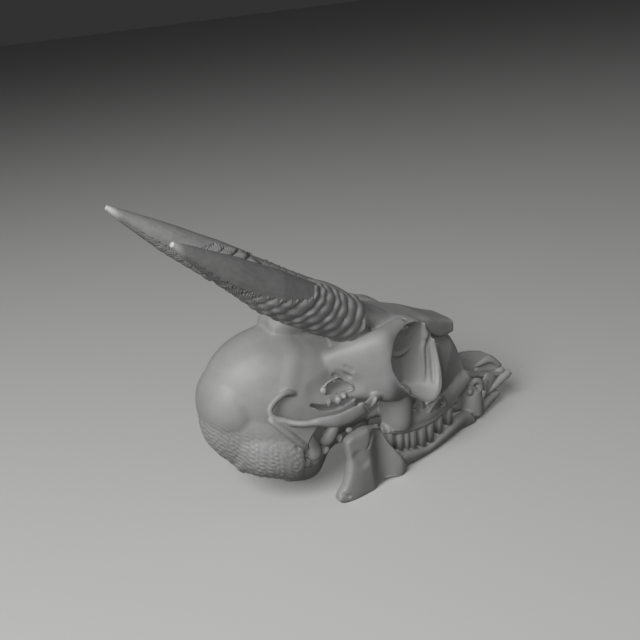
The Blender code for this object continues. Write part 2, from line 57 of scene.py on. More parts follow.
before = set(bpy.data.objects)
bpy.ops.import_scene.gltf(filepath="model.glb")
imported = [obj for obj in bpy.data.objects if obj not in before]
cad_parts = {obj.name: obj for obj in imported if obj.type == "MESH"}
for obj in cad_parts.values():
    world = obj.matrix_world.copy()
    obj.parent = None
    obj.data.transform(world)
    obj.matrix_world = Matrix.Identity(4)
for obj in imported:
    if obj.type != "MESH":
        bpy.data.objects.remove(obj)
CAD_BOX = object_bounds()

# A millimetre in metres, and where the middle of the skull lies along it
MM = 0.001
MIDDLE_X = 52.24
SIDES = ((-1, "right"), (1, "left"))

# The right horn's middle line and how far it sags, the radius along it, the turn of the left horn
# about its own middle line, and where the sheath starts and loses its relief toward the tip
HORN_BASE = (47.2, -11.1, 51.5)
HORN_TIP = (-9.3, -27.0, 91.4)
HORN_SAG = 1.6
HORN_RADII = [(0.0, 6.3), (0.2, 6.15), (0.32, 6.1), (0.53, 5.6), (0.73, 4.0), (0.93, 1.8), (1.0, 0.7)]
HORN_LENGTH = 70.97
HORN_START = 3.3
HORN_SMOOTH_FROM = 55.0
HORN_SMOOTH_TO = 69.0
PLATE_HEIGHT = 0.5
LEFT_TURN = radians(25)

# Where the horn's rings end in a crease, measured along the horn half way up its side, and how far
# the creases lean: their lowest point lies further toward the tip
RING_CREASES = [0.5, 4.3, 8.0, 12.0, 15.8, 18.6, 22.9, 25.6, 30.7, 34.8, 38.4, 41.6, 44.6, 47.4, 50.0]
RING_LEAN = [(0, 1.0), (12, 1.4), (19, 3.0), (25, 4.0), (71, 4.0)]
RING_HEIGHT = 1.15
# How far round from the horn's underside, in degrees, the rings are left at each place along it
RING_EDGE = [
    (0, 185),
    (20.0, 180),
    (21.5, 168),
    (25.5, 136),
    (26.6, 106),
    (30.0, 93),
    (34.8, 78),
    (40.8, 66),
    (46.8, 54),
    (53.0, 45),
    (71.0, 42),
]
# Where the rings fade into grains on the right and the left horn, and how high the grains are
GRAINS_FROM = {"right": 38, "left": 30}
GRAINS_FADE = 10
GRAIN_HEIGHT = 0.16

# The tooth row seen from above, the bone's edges along it, the crowns and the gap between two pieces
TOOTH_ROW = [(50.4, -15.9), (58.0, -15.3), (67.0, -13.7), (76.0, -11.1), (86.0, -7.6)]
UPPER_GUM = [
    (50, 15.0),
    (53.2, 13.6),
    (56, 12.2),
    (60, 11.4),
    (66, 10.6),
    (70, 10.3),
    (76, 11.0),
    (82, 12.0),
]
LOWER_GUM = [
    (50, 8.8),
    (55, 6.9),
    (58, 6.1),
    (62, 4.7),
    (66.7, 3.6),
    (70, 3.9),
    (75, 5.2),
    (86, 5.4),
]
LOWER_CROWN = 0.6
UPPER_WIDTH = 4.2
LOWER_WIDTH = 3.4
GAP = 0.3
# Each cheek tooth: its ends along the skull, and the ends of the columns on its outer face
CHEEK_TEETH = [
    ("molar_3", 50.7, 57.3, [(51.3, 53.5), (54.9, 57.2)]),
    ("molar_2", 57.6, 63.4, [(57.7, 59.5), (60.0, 62.7)]),
    ("molar_1", 63.7, 67.3, [(63.8, 66.8)]),
    ("premolar_4", 67.6, 72.1, [(67.7, 70.4)]),
    ("premolar_3", 72.4, 77.1, [(72.5, 74.9)]),
    ("premolar_2", 77.4, 81.9, [(77.5, 80.3)]),
]
# Each front tooth: the middle of its root and of its tip, half its thickness and half its width
FRONT_TEETH = [
    ("incisor_1", (101.6, -1.8, 6.2), (112.8, -1.8, 11.0), 1.3, 1.4),
    ("incisor_2", (100.4, -2.9, 7.4), (103.8, -2.7, 13.4), 0.5, 2.6),
    ("incisor_3", (98.6, -3.9, 7.0), (100.4, -3.7, 12.4), 0.5, 1.9),
    ("canine", (97.4, -5.2, 6.4), (98.6, -5.4, 9.6), 0.5, 0.9),
]
ROOT_RADIUS = 0.6

# The lower jaw: the middle of its bar across the skull, the outline of its upright plate with how
# far out that stands, tapers and how thick it is, and the slope of the bar's lower outer edge
JAW_MIDDLE = [(50, 16.8), (62, 15.0), (71, 12.9), (78, 10.8), (85, 8.2), (91, 5.6), (100, 2.6)]
JAW_EDGE = [
    (30.2, 1.6),
    (31.0, 3.2),
    (33.2, 5.2),
    (34.8, 8.4),
    (35.6, 12.6),
    (35.0, 16.2),
    (34.8, 19.4),
    (37.0, 20.4),
    (41.0, 20.9),
    (45.0, 21.0),
    (48.2, 20.9),
    (49.6, 17.8),
    (50.9, 13.6),
    (53.4, 8.6),
    (56.0, 4.3),
    (57.2, 1.6),
    (56.4, -0.5),
    (33.6, -0.5),
    (31.4, 0.2),
]
JAW_BACK_Y = 20.4
JAW_TAPER = 0.07
JAW_THICK = 3.4
JAW_SLOPE_HEIGHT = 5.2
JAW_SLOPE_DEPTH = 1.8

# The eye socket: the middle of its opening (x, z), how much of that the hollow takes, how far across
# its inner wall lies, the middle and share of that wall, where its front wall begins and is whole,
# and its edge
EYE_CENTRE = (61.5, 36.5)
EYE_HOLLOW_SHARE = 0.96
EYE_BACK = -12.0
EYE_BACK_CENTRE = (58.5, 32.0)
EYE_BACK_SHARE = (0.34, 0.5)
EYE_FRONT_FROM = 60
EYE_FRONT_RUN = 8
EYE_RIM = [
    (60.3, -18.0, 48.6),
    (65.0, -16.4, 48.2),
    (69.0, -15.4, 46.0),
    (71.6, -15.2, 41.0),
    (72.0, -16.2, 35.4),
    (71.6, -18.4, 29.6),
    (69.8, -20.4, 25.6),
    (66.6, -22.4, 23.8),
    (62.4, -24.0, 24.0),
    (57.8, -25.2, 27.4),
    (54.2, -25.2, 31.6),
    (51.8, -24.8, 36.0),
    (50.4, -24.0, 40.2),
    (51.4, -22.4, 44.6),
    (55.0, -20.2, 47.6),
]

# Where the light painted on the horns' tips begins and is brightest, along x from the skull's middle, and
# how bright
TIP_LIGHT_SPAN = (-58.5, -60.5)
TIP_SHARE = 0.8

# The rows of grains on the back of the head: their distance, the length and height of a grain and the
# share of that height that lies below the smooth surface
NAPE_ROW = 1.15
NAPE_GRAIN = 2.2
NAPE_HEIGHT = 0.36
NAPE_LEVEL = 0.62

# The camera, where the photograph was taken from
CAMERA_PLACE = (-73.1, -223.3, 146.9)
CAMERA_RIGHT = (0.8662, -0.4892, -0.1018)
CAMERA_UP = (0.2606, 0.2685, 0.9274)
CAMERA_LENS = 50.0

# Each light: its direction, its size in metres, its share of the power and whether it casts shadows.
# The photograph's deep hollows are lit as well, so the open light casts none
LIGHTS = [
    ("open light", (-0.58, -0.43, 0.68), 0.3, 0.2, False),
    ("soft light", (-0.64, -0.42, 0.64), 0.5, 0.47, True),
]

# Half the floor's width and the lights' distance, in metres, the point that the lights shine at, and
# the strength of the faint light from all sides
FLOOR_HALF = 4.0
LIGHT_DISTANCE = 0.9
LIGHT_TARGET = (50, 0, 30)
ROOM_LIGHT = 0.05


def at(x, y, z):
    """A point in metres."""
    return Vector((x - MIDDLE_X, y, z)) * MM


def linear(hex_colour):
    """A colour written as sRGB hex, as linear red, green and blue."""
    parts = [int(hex_colour[i : i + 2], 16) / 255 for i in (0, 2, 4)]
    return tuple(c / 12.92 if c <= 0.04045 else ((c + 0.055) / 1.055) ** 2.4 for c in parts)


def typed(length):
    """A length property in millimetres as it was typed, without the rounding that storing it gives."""
    return round(length / MM, 4)


def along(table, t):
    """The value at t in a table of (t, value) rows, on straight lines between them."""
    return np.interp(t, [row[0] for row in table], [row[1] for row in table])


def smooth_path(points, steps):
    """Rows of numbers read off a smooth curve through the given rows, a few steps between each two."""
    rows = [Vector(p) for p in points]
    rows = [2 * rows[0] - rows[1], *rows, 2 * rows[-1] - rows[-2]]
    out = []
    for a, b, c, d in zip(rows, rows[1:], rows[2:], rows[3:]):
        for i in range(steps):
            t = i / steps
            bend = 2 * a - 5 * b + 4 * c - d
            twist = 3 * b - a - 3 * c + d
            out.append(0.5 * (2 * b + (c - a) * t + bend * t**2 + twist * t**3))
    out.append(rows[-2])
    return out


def skin(bm, rings):
    """A closed surface over rings of equal length, each end closed by a fan."""
    rows = [[bm.verts.new(p) for p in ring] for ring in rings]
    count = len(rows[0])
    for a, b in zip(rows, rows[1:]):
        for i in range(count):
            j = (i + 1) % count
            bm.faces.new((a[i], a[j], b[j], b[i]))
    for row, flip in ((rows[0], True), (rows[-1], False)):
        tip = bm.verts.new(sum((v.co for v in row), Vector()) / count)
        for i in range(count):
            j = (i + 1) % count
            bm.faces.new((row[j], row[i], tip) if flip else (row[i], row[j], tip))


def loft(bm, stations, sides=48, power=2.2):
    """A body along x: each station is (x, middle y, half width, lowest z, highest z)."""
    rings = []
    for x, y, wide, low, high in smooth_path(stations, 8):
        ring = []
        for i in range(sides):
            a = 2 * pi * i / sides
            c, s = cos(a), sin(a)
            across = abs(c) ** (2 / power) * (1 if c > 0 else -1)
            up = abs(s) ** (2 / power) * (1 if s > 0 else -1)
            ring.append(at(x, y + wide * across, (low + high) / 2 + (high - low) / 2 * up))
        rings.append(ring)
    skin(bm, rings)


def tube(bm, stations, sides=20):
    """A rod on a smooth curve: each station is (x, y, z, radius across, radius up)."""
    rows = smooth_path(stations, 8)
    rings = []
    for i, row in enumerate(rows):
        before, after = rows[max(i - 1, 0)], rows[min(i + 1, len(rows) - 1)]
        run = (Vector(after[:3]) - Vector(before[:3])).normalized()
        side = run.cross(Vector((0, 0, 1))).normalized()
        rise = side.cross(run)
        centre = Vector(row[:3])
        ring = []
        for j in range(sides):
            a = 2 * pi * j / sides
            ring.append(at(*(centre + side * (row[3] * cos(a)) + rise * (row[4] * sin(a)))))
        rings.append(ring)
    skin(bm, rings)


def ball(bm, centre, radii, turn=(0, 0, 0)):
    """An egg-shaped body, turned by degrees about x, y and z."""
    place = Matrix.Translation(at(*centre)) @ Euler([radians(a) for a in turn]).to_matrix().to_4x4()
    size = Matrix.Diagonal([r * MM for r in radii] + [1])
    bmesh.ops.create_icosphere(bm, subdivisions=5, radius=1, matrix=place @ size)


def cut_ball(bm, centre, radii, turn, planes):
    """An egg-shaped body, cut off flat at each plane (point, direction) on the side of the direction."""
    piece = bmesh.new()
    ball(piece, centre, radii, turn)
    for point, direction in planes:
        found = bmesh.ops.bisect_plane(
            piece,
            geom=piece.verts[:] + piece.edges[:] + piece.faces[:],
            plane_co=at(*point),
            plane_no=direction,
            clear_outer=True,
        )
        edges = [e for e in found["geom_cut"] if isinstance(e, bmesh.types.BMEdge)]
        bmesh.ops.holes_fill(piece, edges=edges)
    mesh = bpy.data.meshes.new("piece")
    piece.to_mesh(mesh)
    piece.free()
    bm.from_mesh(mesh)
    bpy.data.meshes.remove(mesh)


def slab(bm, outline, thickness):
    """A plate from an outline of (x, y, z) points, thickened across."""
    half = Vector((0, thickness / 2, 0)) * MM
    near = [bm.verts.new(at(*p) - half) for p in outline]
    far = [bm.verts.new(at(*p) + half) for p in outline]
    bm.faces.new(near)
    bm.faces.new(far[::-1])
    for i in range(len(outline)):
        j = (i + 1) % len(outline)
        bm.faces.new((near[j], near[i], far[i], far[j]))


def add_object(name, bm):
    """A new smooth object from a bmesh, with its faces pointing out."""
    bmesh.ops.recalc_face_normals(bm, faces=bm.faces)
    mesh = bpy.data.meshes.new(name)
    bm.to_mesh(mesh)
    bm.free()
    mesh.shade_smooth()
    piece = bpy.data.objects.new(name, mesh)
    bpy.context.scene.collection.objects.link(piece)
    return piece


def settle(piece):
    """Applies the modifiers of a piece to its mesh."""
    bpy.context.view_layer.update()
    graph = bpy.context.evaluated_depsgraph_get()
    mesh = bpy.data.meshes.new_from_object(piece.evaluated_get(graph))
    old = piece.data
    piece.modifiers.clear()
    piece.data = mesh
    bpy.data.meshes.remove(old)
    mesh.shade_smooth()


def mirror(piece):
    """Adds the other side of a piece that is given for the right side."""
    other = piece.modifiers.new("other side", "MIRROR")
    other.use_axis = (False, True, False)
    other.use_mirror_merge = False
    settle(piece)


def grow_together(piece, voxel, smoothing):
    """Makes one smooth skin over the overlapping lumps of a piece."""
    skin_over = piece.modifiers.new("one skin", "REMESH")
    skin_over.mode = "VOXEL"
    skin_over.voxel_size = voxel * MM
    skin_over.use_smooth_shade = True
    soften = piece.modifiers.new("soften", "SMOOTH")
    soften.factor = 0.5
    soften.iterations = smoothing
    settle(piece)


def carve(piece, build, mirrored=True):
    """Cuts away the body that a function builds."""
    bm = bmesh.new()
    build(bm)
    cutter = add_object("cutter", bm)
    if mirrored:
        mirror(cutter)
    tool = piece.modifiers.new("cut", "BOOLEAN")
    tool.object = cutter
    tool.operation = "DIFFERENCE"
    tool.solver = "MANIFOLD"
    settle(piece)
    bpy.data.objects.remove(cutter)


def add_lumps(piece, builds, mirrored=True):
    """Adds the bodies that functions build to the mesh of a piece."""
    bm = bmesh.new()
    for build in builds:
        build(bm)
    lumps = add_object("lumps", bm)
    if mirrored:
        mirror(lumps)
    bm = bmesh.new()
    bm.from_mesh(piece.data)
    bm.from_mesh(lumps.data)
    bm.to_mesh(piece.data)
    bm.free()
    bpy.data.objects.remove(lumps)


def thin_out(piece, most):
    """Leaves a piece with at most a number of triangles, the most where it is most curved."""
    count = sum(len(p.vertices) - 2 for p in piece.data.polygons)
    if count > most:
        fewer = piece.modifiers.new("fewer faces", "DECIMATE")
        fewer.ratio = most / count
        settle(piece)


class Clay:
    """The points of a piece in millimetres, which strokes push out and in along the surface's normal."""

    def __init__(self, piece):
        """Reads a piece's points."""
        self.piece = piece
        count = len(piece.data.vertices)
        points = np.empty(count * 3)
        piece.data.vertices.foreach_get("co", points)
        self.points = points.reshape(-1, 3) / MM
        self.points[:, 0] += MIDDLE_X
        self.read_normals()

    def read_normals(self):
        """Reads which way the surface faces at each point."""
        normals = np.empty(len(self.points) * 3)
        self.piece.data.vertices.foreach_get("normal", normals)
        self.normals = normals.reshape(-1, 3)

    def set_down(self):
        """Writes the points back, and reads the normals of the changed surface."""
        points = self.points.copy()
        points[:, 0] -= MIDDLE_X
        self.piece.data.vertices.foreach_set("co", (points * MM).ravel())
        self.piece.data.update()
        self.read_normals()

    def nearest(self, path, reach):
        """Which points on either side lie within reach of a line, and how far from it they are."""
        place = self.points.copy()
        place[:, 1] = -np.abs(place[:, 1])
        line = np.array(path, float)
        inside = np.all((place > line.min(0) - reach) & (place < line.max(0) + reach), axis=1)
        chosen = np.nonzero(inside)[0]
        place = place[chosen]
        best = np.full(len(place), np.inf)
        for a, b in zip(line, line[1:]):
            run = b - a
            t = np.clip((place - a) @ run / (run @ run), 0, 1)
            distance = np.linalg.norm(place - a - t[:, None] * run, axis=1)
            best = np.minimum(best, distance)
        near = best < reach
        return chosen[near], best[near]

    def stroke(self, path, reach, height, sharp=False):
        """Raises a line by height, or presses it in where height is below zero."""
        chosen, distance = self.nearest(path, reach)
        u = distance / reach
        push = (1 - u) ** 1.5 if sharp else (1 - u**2) ** 2
        self.points[chosen] += self.normals[chosen] * (push * height)[:, None]


def braincase(bm):
    """The round back of the head: a dome, and under it the mass that the neck muscles pulled on."""
    dome_ends = [((42, 0, 30), (1, 0, 0)), ((30, 0, 25.5), (0, 0, -1))]
    cut_ball(bm, (30.7, 0, 30.5), (30, 18.5, 21), (0, 21.5, 0), dome_ends)
    cut_ball(bm, (32.4, 0, 22.0), (34.1, 18.5, 20.4), (0, 17, 0), [((21.5, 0, 20), (1, 0, 0.25))])
    loft(
        bm,
        [
            (6, 0, 11.5, 14.0, 30),
            (10, 0, 15.0, 10.8, 30),
            (15, 0, 17.2, 8.4, 30),
            (20, 0, 18.4, 6.2, 30),
            (22.8, 0, 18.2, 5.8, 30),
        ],
        power=2.4,
    )
    loft(bm, [(18, 0, 12, 11, 29), (28, 0, 10.5, 12, 29), (40, 0, 10.5, 13, 29), (52, 0, 11, 15, 29)])
    ball(bm, (9.6, 0, 33.0), (10.2, 12.6, 12.6))
    ball(bm, (8.8, -5.0, 15.0), (2.8, 2.0, 3.3))


def forehead(bm):
    """The middle of the skull from the back of the brow to the end of the nose."""
    loft(
        bm,
        [
            (28, 0, 14.0, 20, 52.0),
            (36, 0, 13.0, 19, 53.0),
            (45, 0, 13.0, 18, 53.0),
            (54, 0, 14.5, 17, 51.2),
            (62, 0, 14.0, 16.5, 48.6),
            (70, 0, 11.6, 16, 45.6),
            (74, 0, 9.4, 15.5, 41.0),
            (78, 0, 7.8, 15, 38.0),
            (82, 0, 6.6, 15, 36.4),
            (86, 0, 5.8, 15, 34.4),
            (88.4, 0, 5.2, 15, 31.6),
            (90.4, 0, 4.4, 15, 26.0),
        ],
    )


def nasal_roof(bm):
    """The bones that roof the nose, which end in front in a blunt edge that stands clear."""
    loft(
        bm,
        [
            (58, 0, 11.0, 42, 49.0),
            (62, 0, 11.6, 42, 48.6),
            (67, 0, 11.2, 41, 46.9),
            (71, 0, 10.0, 40.0, 45.6),
            (75, 0, 9.4, 38.0, 44.3),
            (80, 0, 8.2, 35.0, 42.0),
            (84.0, 0, 7.0, 34.8, 40.4),
            (86.2, 0, 6.6, 35.0, 39.6),
        ],
        power=6.0,
    )


def brow_mound(bm):
    """The mound between the horns, and the stumps that the horns sit on."""
    loft(
        bm,
        [
            (23.4, 0, 5.0, 50, 55.5),
            (27.5, 0, 7.5, 48, 59.0),
            (34, 0, 8.5, 46, 62.5),
            (41, 0, 9.0, 46, 63.0),
            (48, 0, 10.5, 46, 59.5),
            (55, 0, 12.0, 44, 53.2),
            (62, 0, 12.0, 42, 49.0),
        ],
    )
    ball(bm, (45.6, -10.6, 46.2), (7.0, 7.0, 5.2), (0, 15, 0))


def cheek_wing(bm):
    """The wall that flares from the side of the head to the back of the eye socket."""
    loft(
        bm,
        [
            (30, -11.0, 2.4, 31, 43.0),
            (36, -13.2, 3.2, 30.6, 45.6),
            (41, -15.2, 4.2, 29.6, 47.4),
            (46, -17.5, 5.0, 28.5, 49.0),
            (50.5, -19.0, 5.4, 27.0, 49.8),
            (55, -17.5, 5.4, 25.5, 49.8),
            (61, -15.0, 5.0, 24.5, 49.6),
        ],
        power=2.6,
    )


def eye_wall(bm):
    """The wall round the eye, which ends outside in a thin edge."""
    rings = []
    for depth in (0, 0.8, 1.7):
        ring = []
        for x, y, z in smooth_path(EYE_RIM + EYE_RIM[:1], 6)[:-1]:
            ring.append(at(x, y + (EYE_BACK - y) * depth, z))
        rings.append(ring)
    skin(bm, rings)


def eye_hollow(bm):
    """What is hollowed out for the eye: deep behind and above, and sloping in from the front edge."""
    rings = []
    for depth, back_pull in ((-0.4, -0.03), (0, 0), (0.35, 0.03), (0.7, 0.3), (1.0, 1.0)):
        ring = []
        for x, y, z in smooth_path(EYE_RIM + EYE_RIM[:1], 6)[:-1]:
            front = min(max((x - EYE_FRONT_FROM) / EYE_FRONT_RUN, 0), 1)
            share = back_pull + (max(depth, -0.03) - back_pull) * front
            edge_x = EYE_CENTRE[0] + (x - EYE_CENTRE[0]) * EYE_HOLLOW_SHARE
            edge_z = EYE_CENTRE[1] + (z - EYE_CENTRE[1]) * EYE_HOLLOW_SHARE
            back_x = EYE_BACK_CENTRE[0] + (x - EYE_CENTRE[0]) * EYE_BACK_SHARE[0]
            back_z = EYE_BACK_CENTRE[1] + (z - EYE_CENTRE[1]) * EYE_BACK_SHARE[1]
            across = y + (EYE_BACK - y) * depth
            ring.append(at(edge_x + (back_x - edge_x) * share, across, edge_z + (back_z - edge_z) * share))
        rings.append(ring)
    skin(bm, rings)


def eye_crevice(bm):
    """The dark cleft under the upper edge of the eye socket."""
    tube(
        bm,
        [
            (53.4, -17.6, 44.4, 0.8, 0.8),
            (56.0, -16.4, 46.2, 1.3, 1.3),
            (60.0, -14.8, 47.2, 1.5, 1.3),
            (64.4, -13.4, 46.6, 1.5, 1.3),
            (67.8, -12.8, 44.8, 1.2, 1.2),
            (70.0, -13.0, 42.6, 0.8, 0.8),
        ],
    )


def eye_ridges(bm):
    """The upright rib and the slanting fold on the socket's front wall, and the spike above the rib."""
    tube(
        bm,
        [
            (68.4, -16.2, 46.2, 0.3, 0.3),
            (69.0, -15.6, 43.8, 0.6, 0.6),
            (69.6, -15.0, 41.6, 1.1, 1.1),
            (69.2, -14.4, 39.6, 0.8, 0.8),
            (68.4, -14.5, 37.0, 0.7, 0.7),
            (67.8, -15.2, 32.2, 0.7, 0.7),
            (67.0, -15.9, 27.6, 0.7, 0.7),
            (65.8, -16.8, 23.6, 0.5, 0.5),
        ],
    )
    tube(
        bm,
        [
            (56.0, -11.6, 38.6, 0.6, 0.6),
            (60.6, -11.9, 36.6, 0.8, 0.8),
            (63.4, -12.2, 37.4, 0.8, 0.8),
            (67.6, -13.4, 40.6, 0.5, 0.5),
        ],
    )
    tube(
        bm,
        [
            (71.6, -15.8, 40.0, 0.4, 0.4),
            (72.0, -16.2, 36.0, 0.5, 0.5),
            (72.0, -17.0, 32.4, 0.6, 0.6),
            (71.6, -18.2, 28.6, 0.6, 0.6),
            (70.0, -20.0, 25.2, 0.6, 0.6),
            (66.6, -22.0, 23.6, 0.6, 0.6),
            (62.0, -23.8, 24.0, 0.6, 0.6),
        ],
    )


def cheek_arch(bm):
    """The arch that runs back from the cheek and ends in a loop on the side of the head."""
    tube(
        bm,
        [
            (25.4, -15.6, 36.4, 0.7, 0.7),
            (22.7, -16.4, 37.6, 0.9, 0.9),
            (20.3, -17.0, 38.8, 0.95, 0.95),
            (18.2, -17.4, 39.0, 0.95, 0.95),
            (15.8, -17.6, 38.0, 0.95, 0.95),
            (13.8, -18.0, 36.4, 0.95, 0.95),
            (13.6, -18.6, 34.8, 0.95, 0.95),
            (14.6, -19.4, 33.5, 0.95, 0.95),
            (16.5, -20.4, 32.7, 0.95, 0.95),
            (18.5, -21.8, 31.9, 0.95, 0.95),
            (20.8, -23.4, 31.5, 0.95, 0.95),
            (23.1, -24.4, 31.4, 0.95, 1.0),
            (25.2, -25.2, 31.3, 1.0, 1.4),
            (29.5, -26.0, 30.4, 0.9, 2.0),
            (32.8, -26.0, 30.2, 0.8, 2.2),
            (36.2, -25.8, 30.4, 0.8, 2.2),
            (40.0, -25.0, 30.4, 0.8, 1.9),
            (43.0, -23.4, 30.6, 1.0, 1.6),
            (47.0, -21.0, 31.0, 1.6, 1.6),
        ],
    )
    ball(bm, (38.8, -25.4, 32.0), (1.5, 0.7, 0.9))
    tube(bm, [(41.4, -24.8, 29.8, 0.5, 0.5), (43.8, -24.3, 30.8, 0.6, 0.6), (45.0, -23.8, 32.0, 0.5, 0.5)])


def ear_region(bm):
    """The ear plate with its rim, the rod behind it, the ear bubble and the small lumps round them."""
    slab(bm, [(13.2, -19.8, 33.6), (25.4, -23.8, 31.2), (22.0, -21.2, 22.8)], 1.3)
    rim = 0.45
    tube(bm, [(25.4, -24.4, 31.2, rim, rim), (24.0, -22.4, 27.0, rim, rim), (22.6, -20.5, 23.2, rim, rim)])
    tube(
        bm,
        [
            (12.6, -18.8, 34.0, 0.6, 0.6),
            (13.6, -20.0, 32.8, 1.0, 1.0),
            (16.4, -21.2, 29.4, 1.15, 1.15),
            (19.4, -21.7, 25.6, 1.15, 1.15),
            (21.4, -21.5, 23.2, 1.05, 1.05),
            (22.4, -20.9, 22.0, 0.7, 0.7),
        ],
    )
    tube(bm, [(16.4, -18.4, 29.4, 1.0, 1.0), (19.4, -18.8, 25.6, 1.0, 1.0), (20.4, -18.6, 24.4, 1.0, 1.0)])
    tube(
        bm,
        [
            (26.2, -14.8, 22.6, 1.0, 1.0),
            (26.6, -15.4, 20.0, 1.8, 1.8),
            (26.8, -15.6, 17.2, 2.6, 2.6),
            (26.9, -15.2, 15.2, 2.3, 2.3),
        ],
        32,
    )
    ball(bm, (24.2, -15.2, 13.8), (1.4, 1.4, 1.4))
    ball(bm, (23.0, -16.0, 16.4), (0.8, 0.8, 1.4), (0, -20, 0))
    tube(
        bm,
        [
            (30.6, -14.8, 18.0, 1.3, 1.3),
            (32.0, -15.8, 19.6, 1.9, 1.9),
            (33.8, -16.0, 22.0, 1.8, 1.8),
            (35.4, -15.4, 24.0, 1.2, 1.2),
        ],
        28,
    )
    ball(bm, (36.0, -15.6, 18.0), (0.9, 1.0, 1.5), (0, 15, 0))
    ball(bm, (39.0, -16.4, 20.0), (1.3, 1.0, 1.0), (0, 20, 0))
    ball(bm, (34.4, -13.4, 18.6), (1.4, 1.4, 1.8))
    ball(bm, (31.0, -15.0, 15.6), (1.6, 1.3, 0.9), (0, -35, 0))
    tube(bm, [(24.4, -13.8, 12.0, 0.9, 0.9), (28.0, -13.0, 12.2, 1.6, 1.2), (31.4, -12.4, 14.2, 1.0, 0.8)])
    loft(
        bm,
        [
            (24, -10.4, 3.0, 12, 30),
            (34, -10.4, 3.0, 15.5, 30),
            (46, -10.4, 2.6, 18, 30),
            (54, -10, 2.2, 19, 30),
        ],
    )


def head_floor(bm):
    """The rounded beams under the braincase."""
    tube(
        bm,
        [
            (21, -6.0, 9.0, 5.0, 4.0),
            (28.0, -6.0, 7.0, 4.4, 4.0),
            (31.0, -5.4, 8.6, 3.8, 4.0),
            (34.0, -5.0, 12.0, 3.6, 3.8),
            (38.0, -4.6, 14.0, 3.6, 3.8),
            (43.0, -4.6, 14.4, 3.8, 3.8),
            (50.0, -5.2, 17.0, 4.2, 4.2),
        ],
    )


def tooth_bearing_bone(bm):
    """The bone over the tooth row, its edge round the teeth, and the palate between the rows."""
    tube(
        bm,
        [
            (51.0, -15.6, 16.0, 2.2, 2.0),
            (58.0, -15.2, 14.8, 2.2, 2.2),
            (66.0, -13.9, 13.6, 2.3, 2.4),
            (73.0, -12.0, 13.4, 2.4, 2.8),
            (80.0, -9.6, 14.0, 2.4, 3.2),
            (87.0, -7.0, 15.4, 2.0, 3.0),
            (92.0, -5.4, 17.2, 1.6, 1.6),
        ],
    )
    loft(
        bm,
        [
            (48, 0, 12.5, 16, 24),
            (60, 0, 12.6, 14.6, 28),
            (72, 0, 10.6, 13.6, 30),
            (84, 0, 7.0, 13.8, 26),
            (92, 0, 4.8, 15.4, 19),
        ],
    )


def socket_edge(bm):
    """The thin lower edge of the upper bone, which the cheek teeth come out of."""
    rows = []
    for x in (51.6, 55, 59, 63, 67, 71, 75, 79, 83):
        middle = row_point(x)[0]
        rows.append((x, middle.y - 0.2, float(along(UPPER_GUM, x)) + 1.5, 2.2, 1.4))
    tube(bm, rows)


def maxilla_front(bm):
    """The side wall of the snout, down to its lower front corner."""
    skin(
        bm,
        [
            [at(x, y, z) for x, y, z in wall]
            for wall in (
                [(67, -13.6, 15), (67, -14.2, 24), (67, -10, 34), (67, -2, 34), (67, -2, 15)],
                [(73, -12, 14), (73, -12.4, 24), (73, -8.4, 34), (73, -2, 34), (73, -2, 14)],
                [(80, -9.2, 10.6), (80, -9, 22), (80, -6.6, 33), (80, -3, 33), (80, -3, 12)],
                [(85.6, -7.2, 9.4), (86.4, -6.3, 20), (86, -5.7, 30), (86, -3, 30), (86, -3.6, 11)],
                [(88.4, -6.2, 11.6), (89.6, -5.2, 18), (88.4, -4.9, 27.6), (88, -3.6, 27.6), (88, -3.8, 13)],
                [(91.6, -5.4, 14.8), (92.6, -5, 17.4), (91.6, -4.7, 19.6), (91, -3.8, 18.6), (91, -3.8, 15)],
            )
        ],
    )


def back_tooth_swelling(bm):
    """The round swelling over the last teeth, and the folded lump in front of the cheek."""
    tube(
        bm,
        [
            (57.0, -14.6, 27.0, 4.9, 4.9),
            (56.8, -14.9, 21.5, 5.1, 5.1),
            (56.6, -15.1, 17.0, 4.9, 4.9),
            (56.2, -15.3, 14.6, 4.2, 4.2),
        ],
        40,
    )
    ball(bm, (72.6, -12.6, 16.4), (3.2, 2.0, 2.6), (0, 30, 20))
    tube(
        bm,
        [
            (69.0, -14.6, 15.0, 0.5, 0.5),
            (70.8, -15.0, 17.4, 0.7, 0.7),
            (73.2, -15.0, 19.0, 0.8, 0.8),
            (75.2, -14.6, 17.4, 0.8, 0.8),
            (75.4, -14.4, 14.8, 0.6, 0.6),
        ],
    )


def nose_front(bm):
    """The thin front bones: the right one is broken down to its root, the left one is a folded blade."""
    loft(
        bm,
        [
            (84, 0, 5.0, 14.6, 20),
            (89, 0, 4.6, 14.8, 19.4),
            (93, 0, 4.0, 14.4, 17.4),
            (97, 0, 3.2, 13.6, 15.6),
            (102, 0, 2.4, 12.0, 13.6),
            (107, 0, 1.8, 10.6, 12.0),
            (110, 0, 1.2, 10.0, 11.2),
        ],
    )
    tube(
        bm,
        [
            (88.0, -4.6, 18.6, 1.0, 1.2),
            (91.0, -4.8, 18.2, 1.0, 1.2),
            (94.0, -4.6, 16.6, 0.8, 0.9),
            (97.0, -4.0, 15.4, 0.6, 0.6),
        ],
    )


